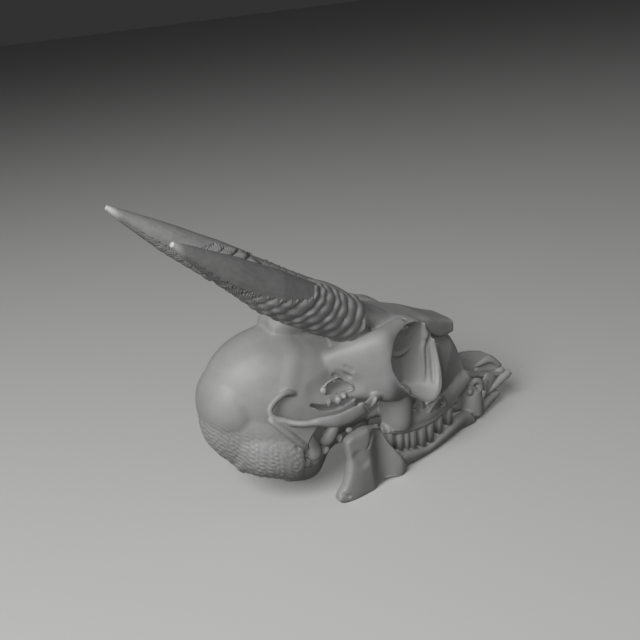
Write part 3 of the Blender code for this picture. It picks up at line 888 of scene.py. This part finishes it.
def left_blade(bm):
    """The left front bone: a thin blade, folded along its middle."""
    blade = [
        (86.0, 5.2, 15.6),
        (86.0, 5.2, 22.0),
        (92.0, 5.0, 21.2),
        (95.6, 5.0, 21.0),
        (100.2, 4.6, 20.6),
        (105.2, 4.2, 19.2),
        (109.6, 3.4, 16.4),
        (112.6, 2.6, 12.6),
        (111.8, 2.4, 10.6),
        (106.3, 3.4, 11.4),
        (98.5, 4.6, 13.8),
        (92.0, 5.0, 15.4),
    ]
    slab(bm, blade, 1.6)
    tube(
        bm,
        [
            (101.6, 3.4, 14.6, 0.3, 0.3),
            (103.6, 3.0, 15.2, 0.8, 0.9),
            (106.6, 2.6, 15.8, 0.9, 1.1),
            (109.0, 2.2, 15.0, 0.9, 1.1),
            (111.4, 1.8, 12.6, 0.7, 0.9),
        ],
    )


def temple_pits(bm):
    """The deep pit in the temple, and the cleft under the small lumps below it."""
    tube(
        bm,
        [
            (30.6, -15.8, 35.6, 1.6, 0.6),
            (32.6, -15.0, 35.6, 4.0, 1.2),
            (35.4, -14.8, 35.7, 4.6, 1.4),
            (38.2, -15.2, 35.2, 4.2, 1.2),
            (41.0, -16.6, 34.2, 1.8, 0.6),
        ],
    )
    tube(
        bm,
        [
            (26.0, -17.2, 33.4, 1.0, 0.5),
            (29.0, -16.2, 31.6, 3.4, 1.0),
            (32.4, -16.0, 30.6, 4.0, 1.2),
            (36.4, -16.2, 30.2, 4.0, 1.1),
            (41.0, -17.4, 30.4, 2.4, 0.6),
        ],
    )


def temple_lumps(bm):
    """The small bright lumps between the pit and the cleft."""
    tube(bm, [(32.2, -16.2, 33.4, 0.6, 0.6), (32.4, -17.9, 32.4, 0.8, 0.9), (32.0, -18.1, 31.0, 0.5, 0.5)])
    tube(bm, [(35.6, -16.4, 33.4, 0.7, 0.7), (35.6, -17.9, 32.0, 1.1, 1.2), (35.2, -18.1, 30.6, 0.5, 0.5)])
    tube(bm, [(37.8, -16.6, 33.4, 0.5, 0.5), (37.8, -17.9, 32.6, 0.8, 0.9), (37.4, -18.1, 31.6, 0.5, 0.5)])


def nose_hollow(bm):
    """The open nose: a passage that runs back from between the front bones."""
    loft(
        bm,
        [
            (76, 0, 2.0, 25, 31),
            (82, 0, 3.4, 21, 33),
            (88, 0, 3.6, 19.6, 34),
            (94, 0, 3.2, 21.6, 36),
            (99, 0, 2.8, 25, 38),
        ],
    )


def neck_opening(bm):
    """The opening for the spinal cord, under the back of the head."""
    ball(bm, (10.5, 0, 10.5), (6.6, 4.6, 4.2), (0, 28, 0))


def row_point(x):
    """The point (x, y) on the tooth row at a place along the skull, and the row's direction there."""
    points = [Vector(p) for p in smooth_path([(x, y, 0) for x, y in TOOTH_ROW], 6)]
    for a, b in zip(points, points[1:]):
        if b.x >= x:
            break
    return a.lerp(b, (x - a.x) / (b.x - a.x)), (b - a).normalized()


def horn_axis(t):
    """The middle line of the right horn, from its base (t = 0) to its tip (t = 1)."""
    base, tip = Vector(HORN_BASE), Vector(HORN_TIP)
    return base.lerp(tip, t) - Vector((0, 0, HORN_SAG * 4 * t * (1 - t)))


def horn_frame(t):
    """The horn's outer side and its upper side at t."""
    run = (horn_axis(t + 0.01) - horn_axis(t - 0.01)).normalized()
    outer = Vector((0, 0, 1)).cross(run).normalized()
    return outer, run.cross(outer)


def horn_seat(bm):
    """Where the horn sheath sits: its lower half with its rings, made larger."""
    swell = [(HORN_START + 0.7, 0.5), (HORN_START + 2.1, RING_HEIGHT + 0.1)]
    rings = []
    for s in np.linspace(HORN_START - 0.4, HORN_LENGTH / 2, 40):
        t = s / HORN_LENGTH
        outer, upper = horn_frame(t)
        radius = float(along(HORN_RADII, t)) + float(along(swell, s))
        ring = []
        for i in range(48):
            a = 2 * pi * i / 48
            ring.append(at(*(horn_axis(t) + (outer * cos(a) + upper * sin(a)) * radius)))
        rings.append(ring)
    skin(bm, rings)


def box_body(low, high):
    """A function that builds a block between two corners."""

    def build(bm):
        a, b = at(*low), at(*high)
        size = Matrix.Diagonal((*(b - a), 1))
        bmesh.ops.create_cube(bm, size=1, matrix=Matrix.Translation((a + b) / 2) @ size)

    return build


def cranium_clay():
    """The cranium's form: the large lumps grown together, then the thin and sharp ones added."""
    bm = bmesh.new()
    for build in (
        braincase,
        forehead,
        brow_mound,
        cheek_wing,
        eye_wall,
        head_floor,
        tooth_bearing_bone,
    ):
        build(bm)
    piece = add_object("bone_cranium", bm)
    mirror(piece)
    grow_together(piece, 0.5, 8)
    for hollow in (eye_hollow, eye_crevice, temple_pits):
        carve(piece, hollow)
    for hollow in (nose_hollow, neck_opening):
        carve(piece, hollow, mirrored=False)
    lumps = (
        cheek_arch,
        ear_region,
        socket_edge,
        maxilla_front,
        back_tooth_swelling,
        nose_front,
        eye_ridges,
        temple_lumps,
    )
    add_lumps(piece, lumps)
    add_lumps(piece, (left_blade, nasal_roof), mirrored=False)
    grow_together(piece, 0.3, 3)
    carve(piece, horn_seat)
    return piece


def sculpt_cranium(piece, sizes):
    """Works the cranium's small forms into its surface."""
    clay = Clay(piece)
    clay.stroke([(29, -15.5, 36), (34, -16, 36.8), (40, -18, 35.6)], 5.0, -1.0)
    clay.stroke([(37.5, -15.9, 40.5), (38.9, -17.0, 39.4), (39.7, -18.0, 38.0)], 1.3, -0.6)
    clay.stroke([(36.3, -15.9, 39.0), (37.6, -16.5, 37.6)], 1.2, -0.55)
    clay.stroke([(39.4, -17.5, 41.4), (40.6, -18.6, 40.1)], 1.2, -0.5)
    clay.stroke([(23.5, -3.4, 54.6), (25.5, -7, 51.3), (26.8, -11.3, 48.2), (21.7, -16, 40.5)], 3.6, 0.35)
    clay.stroke([(70.4, -15.4, 42), (70.3, -16.0, 36), (70.0, -16.8, 31), (69.2, -18, 27)], 1.1, -0.6)
    clay.stroke([(75.0, -13.0, 21.0), (76.5, -12.4, 17.6)], 2.2, -1.6)
    clay.stroke([(13, -17.6, 31), (16, -18.6, 27.6), (19, -18.8, 23.8), (21, -18.6, 21.4)], 1.2, -1.0)
    clay.stroke([(39.6, -26.2, 33.0), (39.7, -26.2, 31.0), (41.0, -25.6, 29.4)], 0.5, -0.5)
    nape_texture(clay, typed(sizes.nape_height))
    clay.set_down()


def nape_texture(clay, height):
    """Rows of fine long grains on the back of the head, where the neck muscles held on."""
    x, y, z = clay.points.T
    y = np.abs(y)
    share = np.clip((31.0 - z - 0.35 * (x - 10)) / 8, 0, 1) * np.clip((22.4 - x) / 1.5, 0, 1)
    share *= np.clip((z - 3) / 2, 0, 1)
    rows = 0.71 * x + 0.06 * y + 0.70 * z
    grains = 0.56 * x + 0.55 * y - 0.61 * z
    rows = rows + 0.22 * np.sin(grains * 0.7) + 0.16 * np.sin(grains * 1.9 + rows * 0.5)
    number = np.floor(rows / NAPE_ROW)
    across = np.sin(pi * (rows / NAPE_ROW - number)) ** 0.5
    wander = 0.8 * np.sin(number * 2.3) + 0.5 * np.sin(grains * 0.8 + number)
    length = 0.8 + 0.2 * np.sin(2 * pi * (grains + wander) / NAPE_GRAIN)
    clay.points += clay.normals * (height * (across * length - NAPE_LEVEL) * share)[:, None]


def jaw_plate(side):
    """A function that builds the upright plate at the back of half the lower jaw."""

    def build(bm):
        behind = JAW_EDGE[0][0]
        slab(bm, [(x, (JAW_BACK_Y - JAW_TAPER * (x - behind)) * side, z) for x, z in JAW_EDGE], JAW_THICK)

    return build


def jaw_bar(side):
    """A function that builds the low bar under the teeth and the chin."""

    def build(bm):
        loft(
            bm,
            [
                (44.0, 18.2 * side, 1.6, 3.0, 9.0),
                (50.0, 16.8 * side, 2.8, -0.5, 8.8),
                (55.0, 16.2 * side, 3.0, -0.5, 7.0),
                (62.0, 15.0 * side, 3.0, -0.5, 4.9),
                (67.0, 13.9 * side, 3.0, -0.5, 3.8),
                (71.0, 12.9 * side, 3.0, -0.5, 4.2),
                (78.0, 10.8 * side, 2.9, -0.5, 5.2),
                (85.0, 8.2 * side, 2.8, -0.5, 5.6),
                (91.0, 5.6 * side, 2.8, -0.5, 4.6),
                (97.0, 3.6 * side, 2.6, 0.2, 4.2),
                (103.0, 1.8 * side, 2.2, 1.8, 5.2),
                (107.8, 0.8 * side, 1.6, 3.4, 5.4),
            ],
            power=2.6,
        )
        y = 3.8 * side
        tube(bm, [(94.2, y, 2.0, 3.8, 3.8), (94.5, y, 7.0, 3.6, 3.6), (94.9, y, 10.6, 2.9, 2.9)], 40)
        tube(
            bm,
            [
                (95.0, 3.6 * side, 9.6, 2.6, 2.6),
                (93.6, 4.4 * side, 12.9, 1.3, 1.3),
                (95.2, 4.8 * side, 14.1, 1.1, 1.1),
                (97.0, 4.8 * side, 13.2, 1.25, 1.25),
                (97.4, 4.6 * side, 10.4, 1.3, 1.3),
            ],
        )
        ball(bm, (92.4, 5.4 * side, 11.2), (1.25, 1.25, 1.35))
        tube(
            bm,
            [
                (95.6, 2.6 * side, 6.0, 2.4, 2.6),
                (99.6, 2.0 * side, 6.0, 1.6, 1.8),
                (103.0, 1.6 * side, 6.2, 1.2, 1.2),
            ],
        )

    return build


def jaw_half(side, word, most):
    """Half of the lower jaw."""
    bm = bmesh.new()
    jaw_plate(side)(bm)
    piece = add_object(f"bone_jaw_{word}", bm)
    grow_together(piece, 0.4, 24)
    bm = bmesh.new()
    bm.from_mesh(piece.data)
    jaw_bar(side)(bm)
    bm.to_mesh(piece.data)
    bm.free()
    grow_together(piece, 0.3, 3)
    inner, outer = sorted((side * GAP / 2, -side * 30))
    carve(piece, box_body((20, -40, -10), (120, 40, 0)), mirrored=False)
    carve(piece, box_body((80, inner, -5), (120, outer, 30)), mirrored=False)
    clay = Clay(piece)
    clay.stroke([(41.0, -22, 18), (40.0, -22, 10), (37.0, -22, 3)], 7.5, 0.6)
    clay.stroke([(47.8, -20.8, 19), (47.8, -20.8, 13), (48.2, -20.8, 7), (48.8, -20.6, 0)], 6.2, -1.8)
    x, y, z = clay.points.T
    outward = y * side - np.interp(x, *zip(*JAW_MIDDLE))
    under = np.clip((JAW_SLOPE_HEIGHT - z) / JAW_SLOPE_HEIGHT, 0, 1) * np.clip((outward + 1.6) / 3.6, 0, 1)
    under *= np.clip((x - 52) / 6, 0, 1) * np.clip((92 - x) / 6, 0, 1)
    clay.points[:, 1] -= side * JAW_SLOPE_DEPTH * under
    clay.set_down()
    clay.stroke([(44.9, -21.1, 18.7), (43.3, -21.2, 17.3), (41.7, -21.3, 15.5)], 1.0, -0.9, sharp=True)
    clay.stroke([(37.8, -21.6, 14.0), (39.7, -21.4, 11.2)], 2.6, -0.5)
    clay.stroke([(31.6, -21.8, 3.4), (33.6, -21.9, 2.0)], 0.9, -0.6)
    clay.stroke([(91.6, -8.0, 4.6), (93.4, -7.4, 1.6), (94.4, -6.8, 0.6)], 1.1, -0.8)
    clay.points[:, 2] = np.maximum(clay.points[:, 2], 0)
    clay.set_down()
    thin_out(piece, most)
    return piece


def tooth_line(root, tip, stops, side):
    """The rings of a front tooth: each stop is (share of the length, half thickness, half width)."""
    a = Vector((root[0], root[1] * -side, root[2]))
    b = Vector((tip[0], tip[1] * -side, tip[2]))
    run = (b - a).normalized()
    across = run.cross(Vector((0, 0, 1))).normalized()
    rise = across.cross(run)
    rings = []
    for t, thick, wide in smooth_path(stops, 5):
        middle = a.lerp(b, t)
        corners = [(cos(pi * i / 12), sin(pi * i / 12)) for i in range(24)]
        rings.append([at(*(middle + across * (thick * c) + rise * (wide * s))) for c, s in corners])
    return rings


def front_tooth(name, side, root, tip, thick, wide):
    """A front tooth: a slim root that widens to a blunt blade."""
    bm = bmesh.new()
    root_end = (0, ROOT_RADIUS, ROOT_RADIUS)
    stops = [root_end, (0.3, thick, wide * 0.9), (0.85, thick, wide), (1.0, thick * 0.75, wide * 0.8)]
    skin(bm, tooth_line(root, tip, stops, side))
    return add_object(name, bm)


def round_off(share):
    """Moves a point of a circle outward, toward a square with rounded corners."""
    return abs(share) ** 0.7 * (1 if share > 0 else -1)


def cheek_tooth(name, side, upper, start, end, columns):
    """One cheek tooth: a core, and columns that stand out on its outer face."""
    bm = bmesh.new()
    width = UPPER_WIDTH if upper else LOWER_WIDTH
    shift = 0 if upper else -0.5
    grow = 1 if upper else -1

    def rings(low_x, high_x, inner, outer):
        made = []
        for rise, scale in ((2.0, 0.9), (0.0, 1.0), (None, 0.92)):
            ring = []
            for i in range(24):
                a = 2 * pi * (i + 0.5) / 24
                x = (low_x + high_x) / 2 + (high_x - low_x) / 2 * scale * round_off(cos(a))
                p, run = row_point(x)
                outward = Vector((run.y, -run.x, 0))
                v = (inner + outer) / 2 + (outer - inner) / 2 * scale * round_off(sin(a))
                p = p + outward * (v + shift)
                bite = float(along(LOWER_GUM, x)) + LOWER_CROWN + grow * GAP / 2
                gum = float(along(UPPER_GUM if upper else LOWER_GUM, x))
                ring.append(at(p.x, p.y * -side, bite if rise is None else gum + rise * grow))
            made.append(ring)
        return made

    skin(bm, rings(start, end, -width / 2, width / 2 - 1.3))
    for low_x, high_x in columns:
        skin(bm, rings(low_x, high_x, -width / 4, width / 2))
    return add_object(name, bm)


def ring_relief(s, from_below, turned):
    """The relief of the rings, 1 at their highest, at a distance s from the horn's base."""
    lean = float(along(RING_LEAN, s)) * np.cos(from_below)
    creases = np.array(RING_CREASES)
    place = np.interp(s - lean, creases, np.arange(len(creases)), left=-1, right=len(creases))
    number = np.floor(place)
    u = place - number
    band = 1 - np.abs(2 * u - 0.9) ** 3.2
    crease = 0.35 * np.exp(-((np.minimum(u, 1 - u) / 0.05) ** 2))
    wear = 0.85 + 0.15 * np.sin(from_below * (5 + number) + number * 2.1)
    ringed = (place >= 0) & (place < len(creases) - 1)
    rings = (np.clip(band, 0, 1) - crease) * wear * ringed
    if turned:
        rings *= np.clip((2.2 - from_below) / 0.5 + max(s - 22, 0) / 6, 0.1, 1)
    return rings


def plate_fibres(s, from_below):
    """The faint stripes along the smooth upper face of the horn."""
    wide = np.sin(from_below * 19 + 2.2 * np.sin(s * 0.17)) * np.sin(s * 0.35 + from_below * 3)
    fine = np.sin(from_below * 47 + 1.3 * np.sin(s * 0.5)) * np.sin(s * 0.9 + from_below * 7)
    return 0.03 * wide + 0.025 * fine


def horn_relief(s, from_below, turned, ring_height):
    """How far the horn's surface stands out at a distance s from its base, at angles from its underside."""
    edge = radians(float(along(RING_EDGE, s))) + 0.05 * np.sin(s * 2.6) + 0.03 * np.sin(s * 6.1)
    if turned:
        edge += float(np.clip((s - 21) / 3, 0, 1) * np.clip((46 - s) / 6, 0, 1))
    cover = np.clip((edge - from_below) / 0.05 + 0.5, 0, 1)
    bumps = np.sin(s * 7.3 + 2 * np.sin(from_below * 9)) * np.sin(from_below * 31 + 2 * np.sin(s * 1.7))
    grains = GRAIN_HEIGHT * bumps + 0.1
    start = GRAINS_FROM["left" if turned else "right"]
    share = float(np.clip((s - start) / GRAINS_FADE, 0, 1))
    rings = ring_height * ring_relief(s, from_below, turned) * (1 - share * 0.85) + grains * share
    plate = PLATE_HEIGHT + plate_fibres(s, from_below)
    end = float(np.clip((HORN_SMOOTH_TO - s) / (HORN_SMOOTH_TO - HORN_SMOOTH_FROM), 0, 1))
    return (rings * cover + plate * (1 - cover)) * end


def ring_points(ring, t, side, ragged):
    """The points of one ring of a horn, kept in the box of the solids: each is (place, angle, relief)."""
    outer, upper = horn_frame(t)
    centre = horn_axis(t)
    low, high = CAD_BOX[0] / MM, CAD_BOX[1] / MM
    points = []
    for place, a, relief in ring:
        if ragged:
            centre = horn_axis(place)
        p = centre + (outer * cos(a) + upper * sin(a)) * float(along(HORN_RADII, place) + relief)
        y = min(max(p.y, low.y + 0.01), high.y - 0.01)
        points.append(at(max(p.x, low.x + MIDDLE_X + 0.01), y * -side, min(p.z, high.z - 0.01)))
    return points


def horn(name, side, turn, ring_height):
    """A horn sheath: overlapping rings from its base to its middle, which the upper face loses first."""
    bm = bmesh.new()
    lengths = np.concatenate([np.linspace(HORN_START, 52, 400), np.linspace(52.3, HORN_LENGTH, 80)])
    angles = np.linspace(0, 2 * pi, 176, endpoint=False)
    ragged = 0.3 * np.sin(angles * 7) + 0.2 * np.sin(angles * 13 + 1)
    rings = []
    for s in lengths:
        below = np.abs((angles + pi / 2 + turn + pi) % (2 * pi) - pi)
        early = float(np.clip((9 - s) / 6, 0, 1))
        relief = horn_relief(s, below, bool(turn), ring_height)
        ring = []
        for i, a in enumerate(angles):
            t = (s + ragged[i] * early) / HORN_LENGTH
            ring.append((t, a, relief[i]))
        rings.append(ring_points(ring, s / HORN_LENGTH, side, early > 0))
    skin(bm, rings)
    return add_object(name, bm)


def node(tree, kind, settings=None, links=None):
    """Adds a shader node with its settings and links, and returns it."""
    made = tree.nodes.new(kind)
    for key, value in (settings or {}).items():
        if key in made.inputs and not hasattr(type(made), key):
            made.inputs[key].default_value = value
        else:
            setattr(made, key, value)
    for key, (source, output) in (links or {}).items():
        tree.links.new(source.outputs[output], made.inputs[key])
    return made


def surface(name, shader_settings):
    """A new material and its shader, with the values that are the same all over."""
    made = bpy.data.materials.new(name)
    made.use_nodes = True
    shader = made.node_tree.nodes["Principled BSDF"]
    for key, value in shader_settings.items():
        shader.inputs[key].default_value = value
    return made, made.node_tree, shader


def tone_clouds(tree, place, pattern, low, high):
    """Clouds that run from one tone (position, colour) to another, and their colour's node."""
    clouds = node(tree, "ShaderNodeTexNoise", pattern, {"Vector": (place, "Object")})
    tones = node(tree, "ShaderNodeValToRGB", {}, {"Fac": (clouds, "Fac")})
    for stop, (position, colour) in zip(tones.color_ramp.elements, (low, high)):
        stop.position = position
        stop.color = (*colour, 1)
    return tones


# Bone, boiled clean and dried: it scatters the light dully, with clouds of tone where fat was left.
# Real pores of bone are under 0.1 mm and don't show, so the grain is drawn at 0.6 mm
def dry_bone(colours):
    """The material of the cranium and the lower jaw."""
    made, tree, shader = surface("dry cleaned bone", {"IOR": 1.54, "Roughness": 0.55})
    place = node(tree, "ShaderNodeTexCoord")
    pattern = {"Scale": 1 / (9 * MM), "Detail": 4.0, "Roughness": 0.6}
    tones = tone_clouds(tree, place, pattern, (0.3, colours.bone_dark), (0.7, colours.bone_light))
    tree.links.new(tones.outputs["Color"], shader.inputs["Base Color"])
    pattern = {"Scale": 1 / (0.6 * MM), "Detail": 3.0, "Roughness": 0.6}
    grain = node(tree, "ShaderNodeTexNoise", pattern, {"Vector": (place, "Object")})
    lift = {"Strength": 0.12, "Distance": 0.1 * MM}
    bump = node(tree, "ShaderNodeBump", lift, {"Height": (grain, "Fac")})
    tree.links.new(bump.outputs["Normal"], shader.inputs["Normal"])
    return made


# Horn, grown in layers and rubbed smooth: darker than bone, partly as keratin is and partly as painted
# shade, with a low sheen, and pale at the tip, where light is painted on
def horn_keratin(colours):
    """The material of the horn sheaths."""
    made, tree, shader = surface("grown horn", {"IOR": 1.55, "Roughness": 0.5})
    place = node(tree, "ShaderNodeTexCoord")
    pattern = {"Scale": 1 / (3 * MM), "Detail": 5.0, "Roughness": 0.65}
    # These tones are darker than bone, partly as keratin is and partly as painted shade
    tones = tone_clouds(tree, place, pattern, (0.3, colours.horn_dark), (0.75, colours.horn_light))
    along_skull = node(tree, "ShaderNodeSeparateXYZ", {}, {"Vector": (place, "Object")})
    # Painted light: the colour turns pale toward the horns' tips, where they catch the light
    tip_light_from, tip_light_to = TIP_LIGHT_SPAN
    reach = {"From Min": tip_light_from * MM, "From Max": tip_light_to * MM, "To Min": 0.0, "To Max": TIP_SHARE}
    worn = node(tree, "ShaderNodeMapRange", reach, {"Value": (along_skull, "X")})
    mix = node(tree, "ShaderNodeMix", {"data_type": "RGBA"}, {"Factor": (worn, "Result")})
    first, second = [socket for socket in mix.inputs if socket.type == "RGBA"]
    tree.links.new(tones.outputs["Color"], first)
    second.default_value = (*colours.horn_tip, 1)
    mixed = [socket for socket in mix.outputs if socket.type == "RGBA"][0]
    tree.links.new(mixed, shader.inputs["Base Color"])
    return made


# Enamel, worn smooth by chewing: paler, harder and shinier than bone, with a stain here and there
def tooth_enamel(colours):
    """The material of the teeth."""
    made, tree, shader = surface("worn enamel", {"IOR": 1.62, "Roughness": 0.38})
    place = node(tree, "ShaderNodeTexCoord")
    pattern = {"Scale": 1 / (1.5 * MM), "Detail": 3.0, "Roughness": 0.5}
    tones = tone_clouds(tree, place, pattern, (0, colours.enamel_dark), (1, colours.enamel_light))
    tree.links.new(tones.outputs["Color"], shader.inputs["Base Color"])
    return made


# Matt paint, rolled on a flat board: without a shine, and even but for clouds of a third of a metre
def floor_paint(colours):
    """The material of the floor."""
    made, tree, shader = surface("matt pale floor paint", {"IOR": 1.5, "Roughness": 0.9})
    place = node(tree, "ShaderNodeTexCoord")
    pattern = {"Scale": 1 / (333.3 * MM), "Detail": 2.0}
    tones = tone_clouds(tree, place, pattern, (0, colours.floor_dark), (1, colours.floor_light))
    tree.links.new(tones.outputs["Color"], shader.inputs["Base Color"])
    return made


def dress(piece, material, slot, *nodes):
    """Gives a piece its material and puts it in place of its solids."""
    piece.data.materials.clear()
    piece.data.materials.append(material)
    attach(piece, "root")
    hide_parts(*nodes)


def shared(name, make, colours):
    """A material that is made once."""
    return bpy.data.materials.get(name) or make(colours)


class SKULL_PG_sizes(bpy.types.PropertyGroup):
    """The sizes that a user would change."""

    ring_height: bpy.props.FloatProperty(
        name="Ring height",
        description="How far the horn's rings stand out",
        default=RING_HEIGHT * MM,
        min=0,
        max=2 * MM,
        precision=5,
        unit="LENGTH",
    )
    nape_height: bpy.props.FloatProperty(
        name="Nape grain height",
        description="How high the grains on the back of the head are",
        default=NAPE_HEIGHT * MM,
        min=0,
        max=1 * MM,
        precision=5,
        unit="LENGTH",
    )
    cranium_faces: bpy.props.IntProperty(
        name="Cranium faces",
        description="Most triangles in the cranium",
        default=195000,
        min=20000,
        max=199000,
    )
    jaw_faces: bpy.props.IntProperty(
        name="Jaw faces",
        description="Most triangles in each half of the lower jaw",
        default=60000,
        min=5000,
        max=199000,
    )
    light_power: bpy.props.FloatProperty(
        name="Light",
        description="Power that the lights share",
        default=11.0,
        min=0,
        unit="POWER",
    )


def colour(name, description, hex_colour):
    """A colour that a user would change."""
    return bpy.props.FloatVectorProperty(
        name=name,
        description=description,
        default=linear(hex_colour),
        min=0,
        max=1,
        subtype="COLOR",
    )


class SKULL_PG_colours(bpy.types.PropertyGroup):
    """The colours that a user would change."""

    bone_dark: colour("Bone, dark", "Darker clouds of the bone", "9c9c9a")
    bone_light: colour("Bone, light", "Lighter clouds of the bone", "a8a9a8")
    # The horn's colours are darker than bone, partly as keratin is and partly as painted shade
    horn_dark: colour("Horn, dark", "Darker clouds of the horn", "868686")
    horn_light: colour("Horn, light", "Lighter clouds of the horn", "989897")
    # The horn tip colour is light painted on the tips
    horn_tip: colour("Horn tip", "The worn tips of the horns", "dcdcda")
    enamel_dark: colour("Enamel, dark", "Stains of the teeth", "9a9a97")
    enamel_light: colour("Enamel, light", "Clean parts of the teeth", "b4b4b1")
    floor_dark: colour("Floor, dark", "Darker clouds of the floor", "d2d2d1")
    floor_light: colour("Floor, light", "Lighter clouds of the floor", "d6d6d5")
    room: colour("Room", "Colour of the faint light from all sides", "d0d0d0")


class SKULL_OT_cranium(bpy.types.Operator):
    """Model the cranium"""

    bl_idname = "skull.cranium"
    bl_label = "Cranium"

    def execute(self, context):
        sizes = context.scene.skull_sizes
        piece = cranium_clay()
        sculpt_cranium(piece, sizes)
        thin_out(piece, sizes.cranium_faces)
        bone = shared("dry cleaned bone", dry_bone, context.scene.skull_colours)
        dress(piece, bone, "bone", "cranium")
        return {"FINISHED"}


class SKULL_OT_jaws(bpy.types.Operator):
    """Model both halves of the lower jaw"""

    bl_idname = "skull.jaws"
    bl_label = "Lower jaw"

    def execute(self, context):
        sizes = context.scene.skull_sizes
        bone = shared("dry cleaned bone", dry_bone, context.scene.skull_colours)
        for side, word in SIDES:
            piece = jaw_half(side, word, sizes.jaw_faces)
            dress(piece, bone, "bone", f"jaw_{word}")
        return {"FINISHED"}


class SKULL_OT_horns(bpy.types.Operator):
    """Model both horns"""

    bl_idname = "skull.horns"
    bl_label = "Horns"

    def execute(self, context):
        sizes = context.scene.skull_sizes
        keratin = shared("grown horn", horn_keratin, context.scene.skull_colours)
        for side, word in SIDES:
            turn = LEFT_TURN if word == "left" else 0.0
            piece = horn(f"sheath_{word}", side, turn, typed(sizes.ring_height))
            dress(piece, keratin, "horn", f"horn_{word}")
        return {"FINISHED"}


class SKULL_OT_teeth(bpy.types.Operator):
    """Model the cheek teeth and the front teeth"""

    bl_idname = "skull.teeth"
    bl_label = "Teeth"

    def execute(self, context):
        enamel = shared("worn enamel", tooth_enamel, context.scene.skull_colours)
        for side, word in SIDES:
            for upper, level in ((True, "upper"), (False, "lower")):
                for tooth, start, end, columns in CHEEK_TEETH:
                    name = f"{level}_{tooth}_{word}"
                    piece = cheek_tooth("crown_" + name, side, upper, start, end, columns)
                    dress(piece, enamel, "tooth", name)
            for tooth, root, tip, thick, wide in FRONT_TEETH:
                name = f"{tooth}_{word}"
                piece = front_tooth("crown_" + name, side, root, tip, thick, wide)
                dress(piece, enamel, "tooth", name)
        return {"FINISHED"}


class SKULL_OT_stage(bpy.types.Operator):
    """Set up the floor, the lights and the camera"""

    bl_idname = "skull.stage"
    bl_label = "Stage"

    def execute(self, context):
        scene = context.scene
        bm = bmesh.new()
        bmesh.ops.create_grid(bm, x_segments=2, y_segments=2, size=FLOOR_HALF)
        floor = add_object("floor", bm)
        floor.visible_diffuse = False
        floor.data.materials.append(floor_paint(scene.skull_colours))

        right, up = Vector(CAMERA_RIGHT), Vector(CAMERA_UP)
        back = right.cross(up)
        place = Matrix((right, up, back)).transposed().to_4x4()
        place.translation = at(*CAMERA_PLACE)
        camera = bpy.data.objects.new("camera", bpy.data.cameras.new("camera"))
        camera.data.lens = CAMERA_LENS
        camera.data.clip_start = 0.01
        camera.matrix_world = place
        scene.collection.objects.link(camera)
        scene.camera = camera

        power = scene.skull_sizes.light_power
        for name, direction, size, share, shadows in LIGHTS:
            lamp = bpy.data.lights.new(name, "AREA")
            lamp.shape = "DISK"
            lamp.size = size
            lamp.energy = power * share
            lamp.use_shadow = shadows
            light = bpy.data.objects.new(name, lamp)
            run = Vector(direction).normalized()
            light.location = at(*LIGHT_TARGET) + run * LIGHT_DISTANCE
            light.rotation_euler = run.to_track_quat("Z", "Y").to_euler()
            scene.collection.objects.link(light)

        world = bpy.data.worlds.new("studio")
        world.use_nodes = True
        world.node_tree.nodes["Background"].inputs["Color"].default_value = (*scene.skull_colours.room, 1)
        world.node_tree.nodes["Background"].inputs["Strength"].default_value = ROOM_LIGHT
        scene.world = world
        scene.view_settings.view_transform = "Standard"
        return {"FINISHED"}


class SKULL_PT_panel(bpy.types.Panel):
    """The skull's pieces and sizes"""

    bl_idname = "SKULL_PT_panel"
    bl_label = "Dik-dik skull"
    bl_space_type = "VIEW_3D"
    bl_region_type = "UI"
    bl_category = "Skull"

    def draw(self, context):
        for group in (context.scene.skull_sizes, context.scene.skull_colours):
            for key in group.bl_rna.properties.keys():
                if key not in ("rna_type", "name"):
                    self.layout.prop(group, key)
        for operator in OPERATORS:
            self.layout.operator(operator.bl_idname)


OPERATORS = (SKULL_OT_stage, SKULL_OT_cranium, SKULL_OT_jaws, SKULL_OT_horns, SKULL_OT_teeth)
CLASSES = (SKULL_PG_sizes, SKULL_PG_colours, *OPERATORS, SKULL_PT_panel)


def register():
    """Adds the classes and the settings to Blender."""
    for entry in CLASSES:
        bpy.utils.register_class(entry)
    bpy.types.Scene.skull_sizes = bpy.props.PointerProperty(type=SKULL_PG_sizes)
    bpy.types.Scene.skull_colours = bpy.props.PointerProperty(type=SKULL_PG_colours)


def unregister():
    """Takes the classes and the settings out of Blender."""
    del bpy.types.Scene.skull_sizes
    del bpy.types.Scene.skull_colours
    for entry in reversed(CLASSES):
        bpy.utils.unregister_class(entry)


def main():
    """Models the skull and its stage."""
    register()
    bpy.ops.skull.stage()
    bpy.ops.skull.cranium()
    bpy.ops.skull.jaws()
    bpy.ops.skull.horns()
    bpy.ops.skull.teeth()


if __name__ == "__main__":
    main()
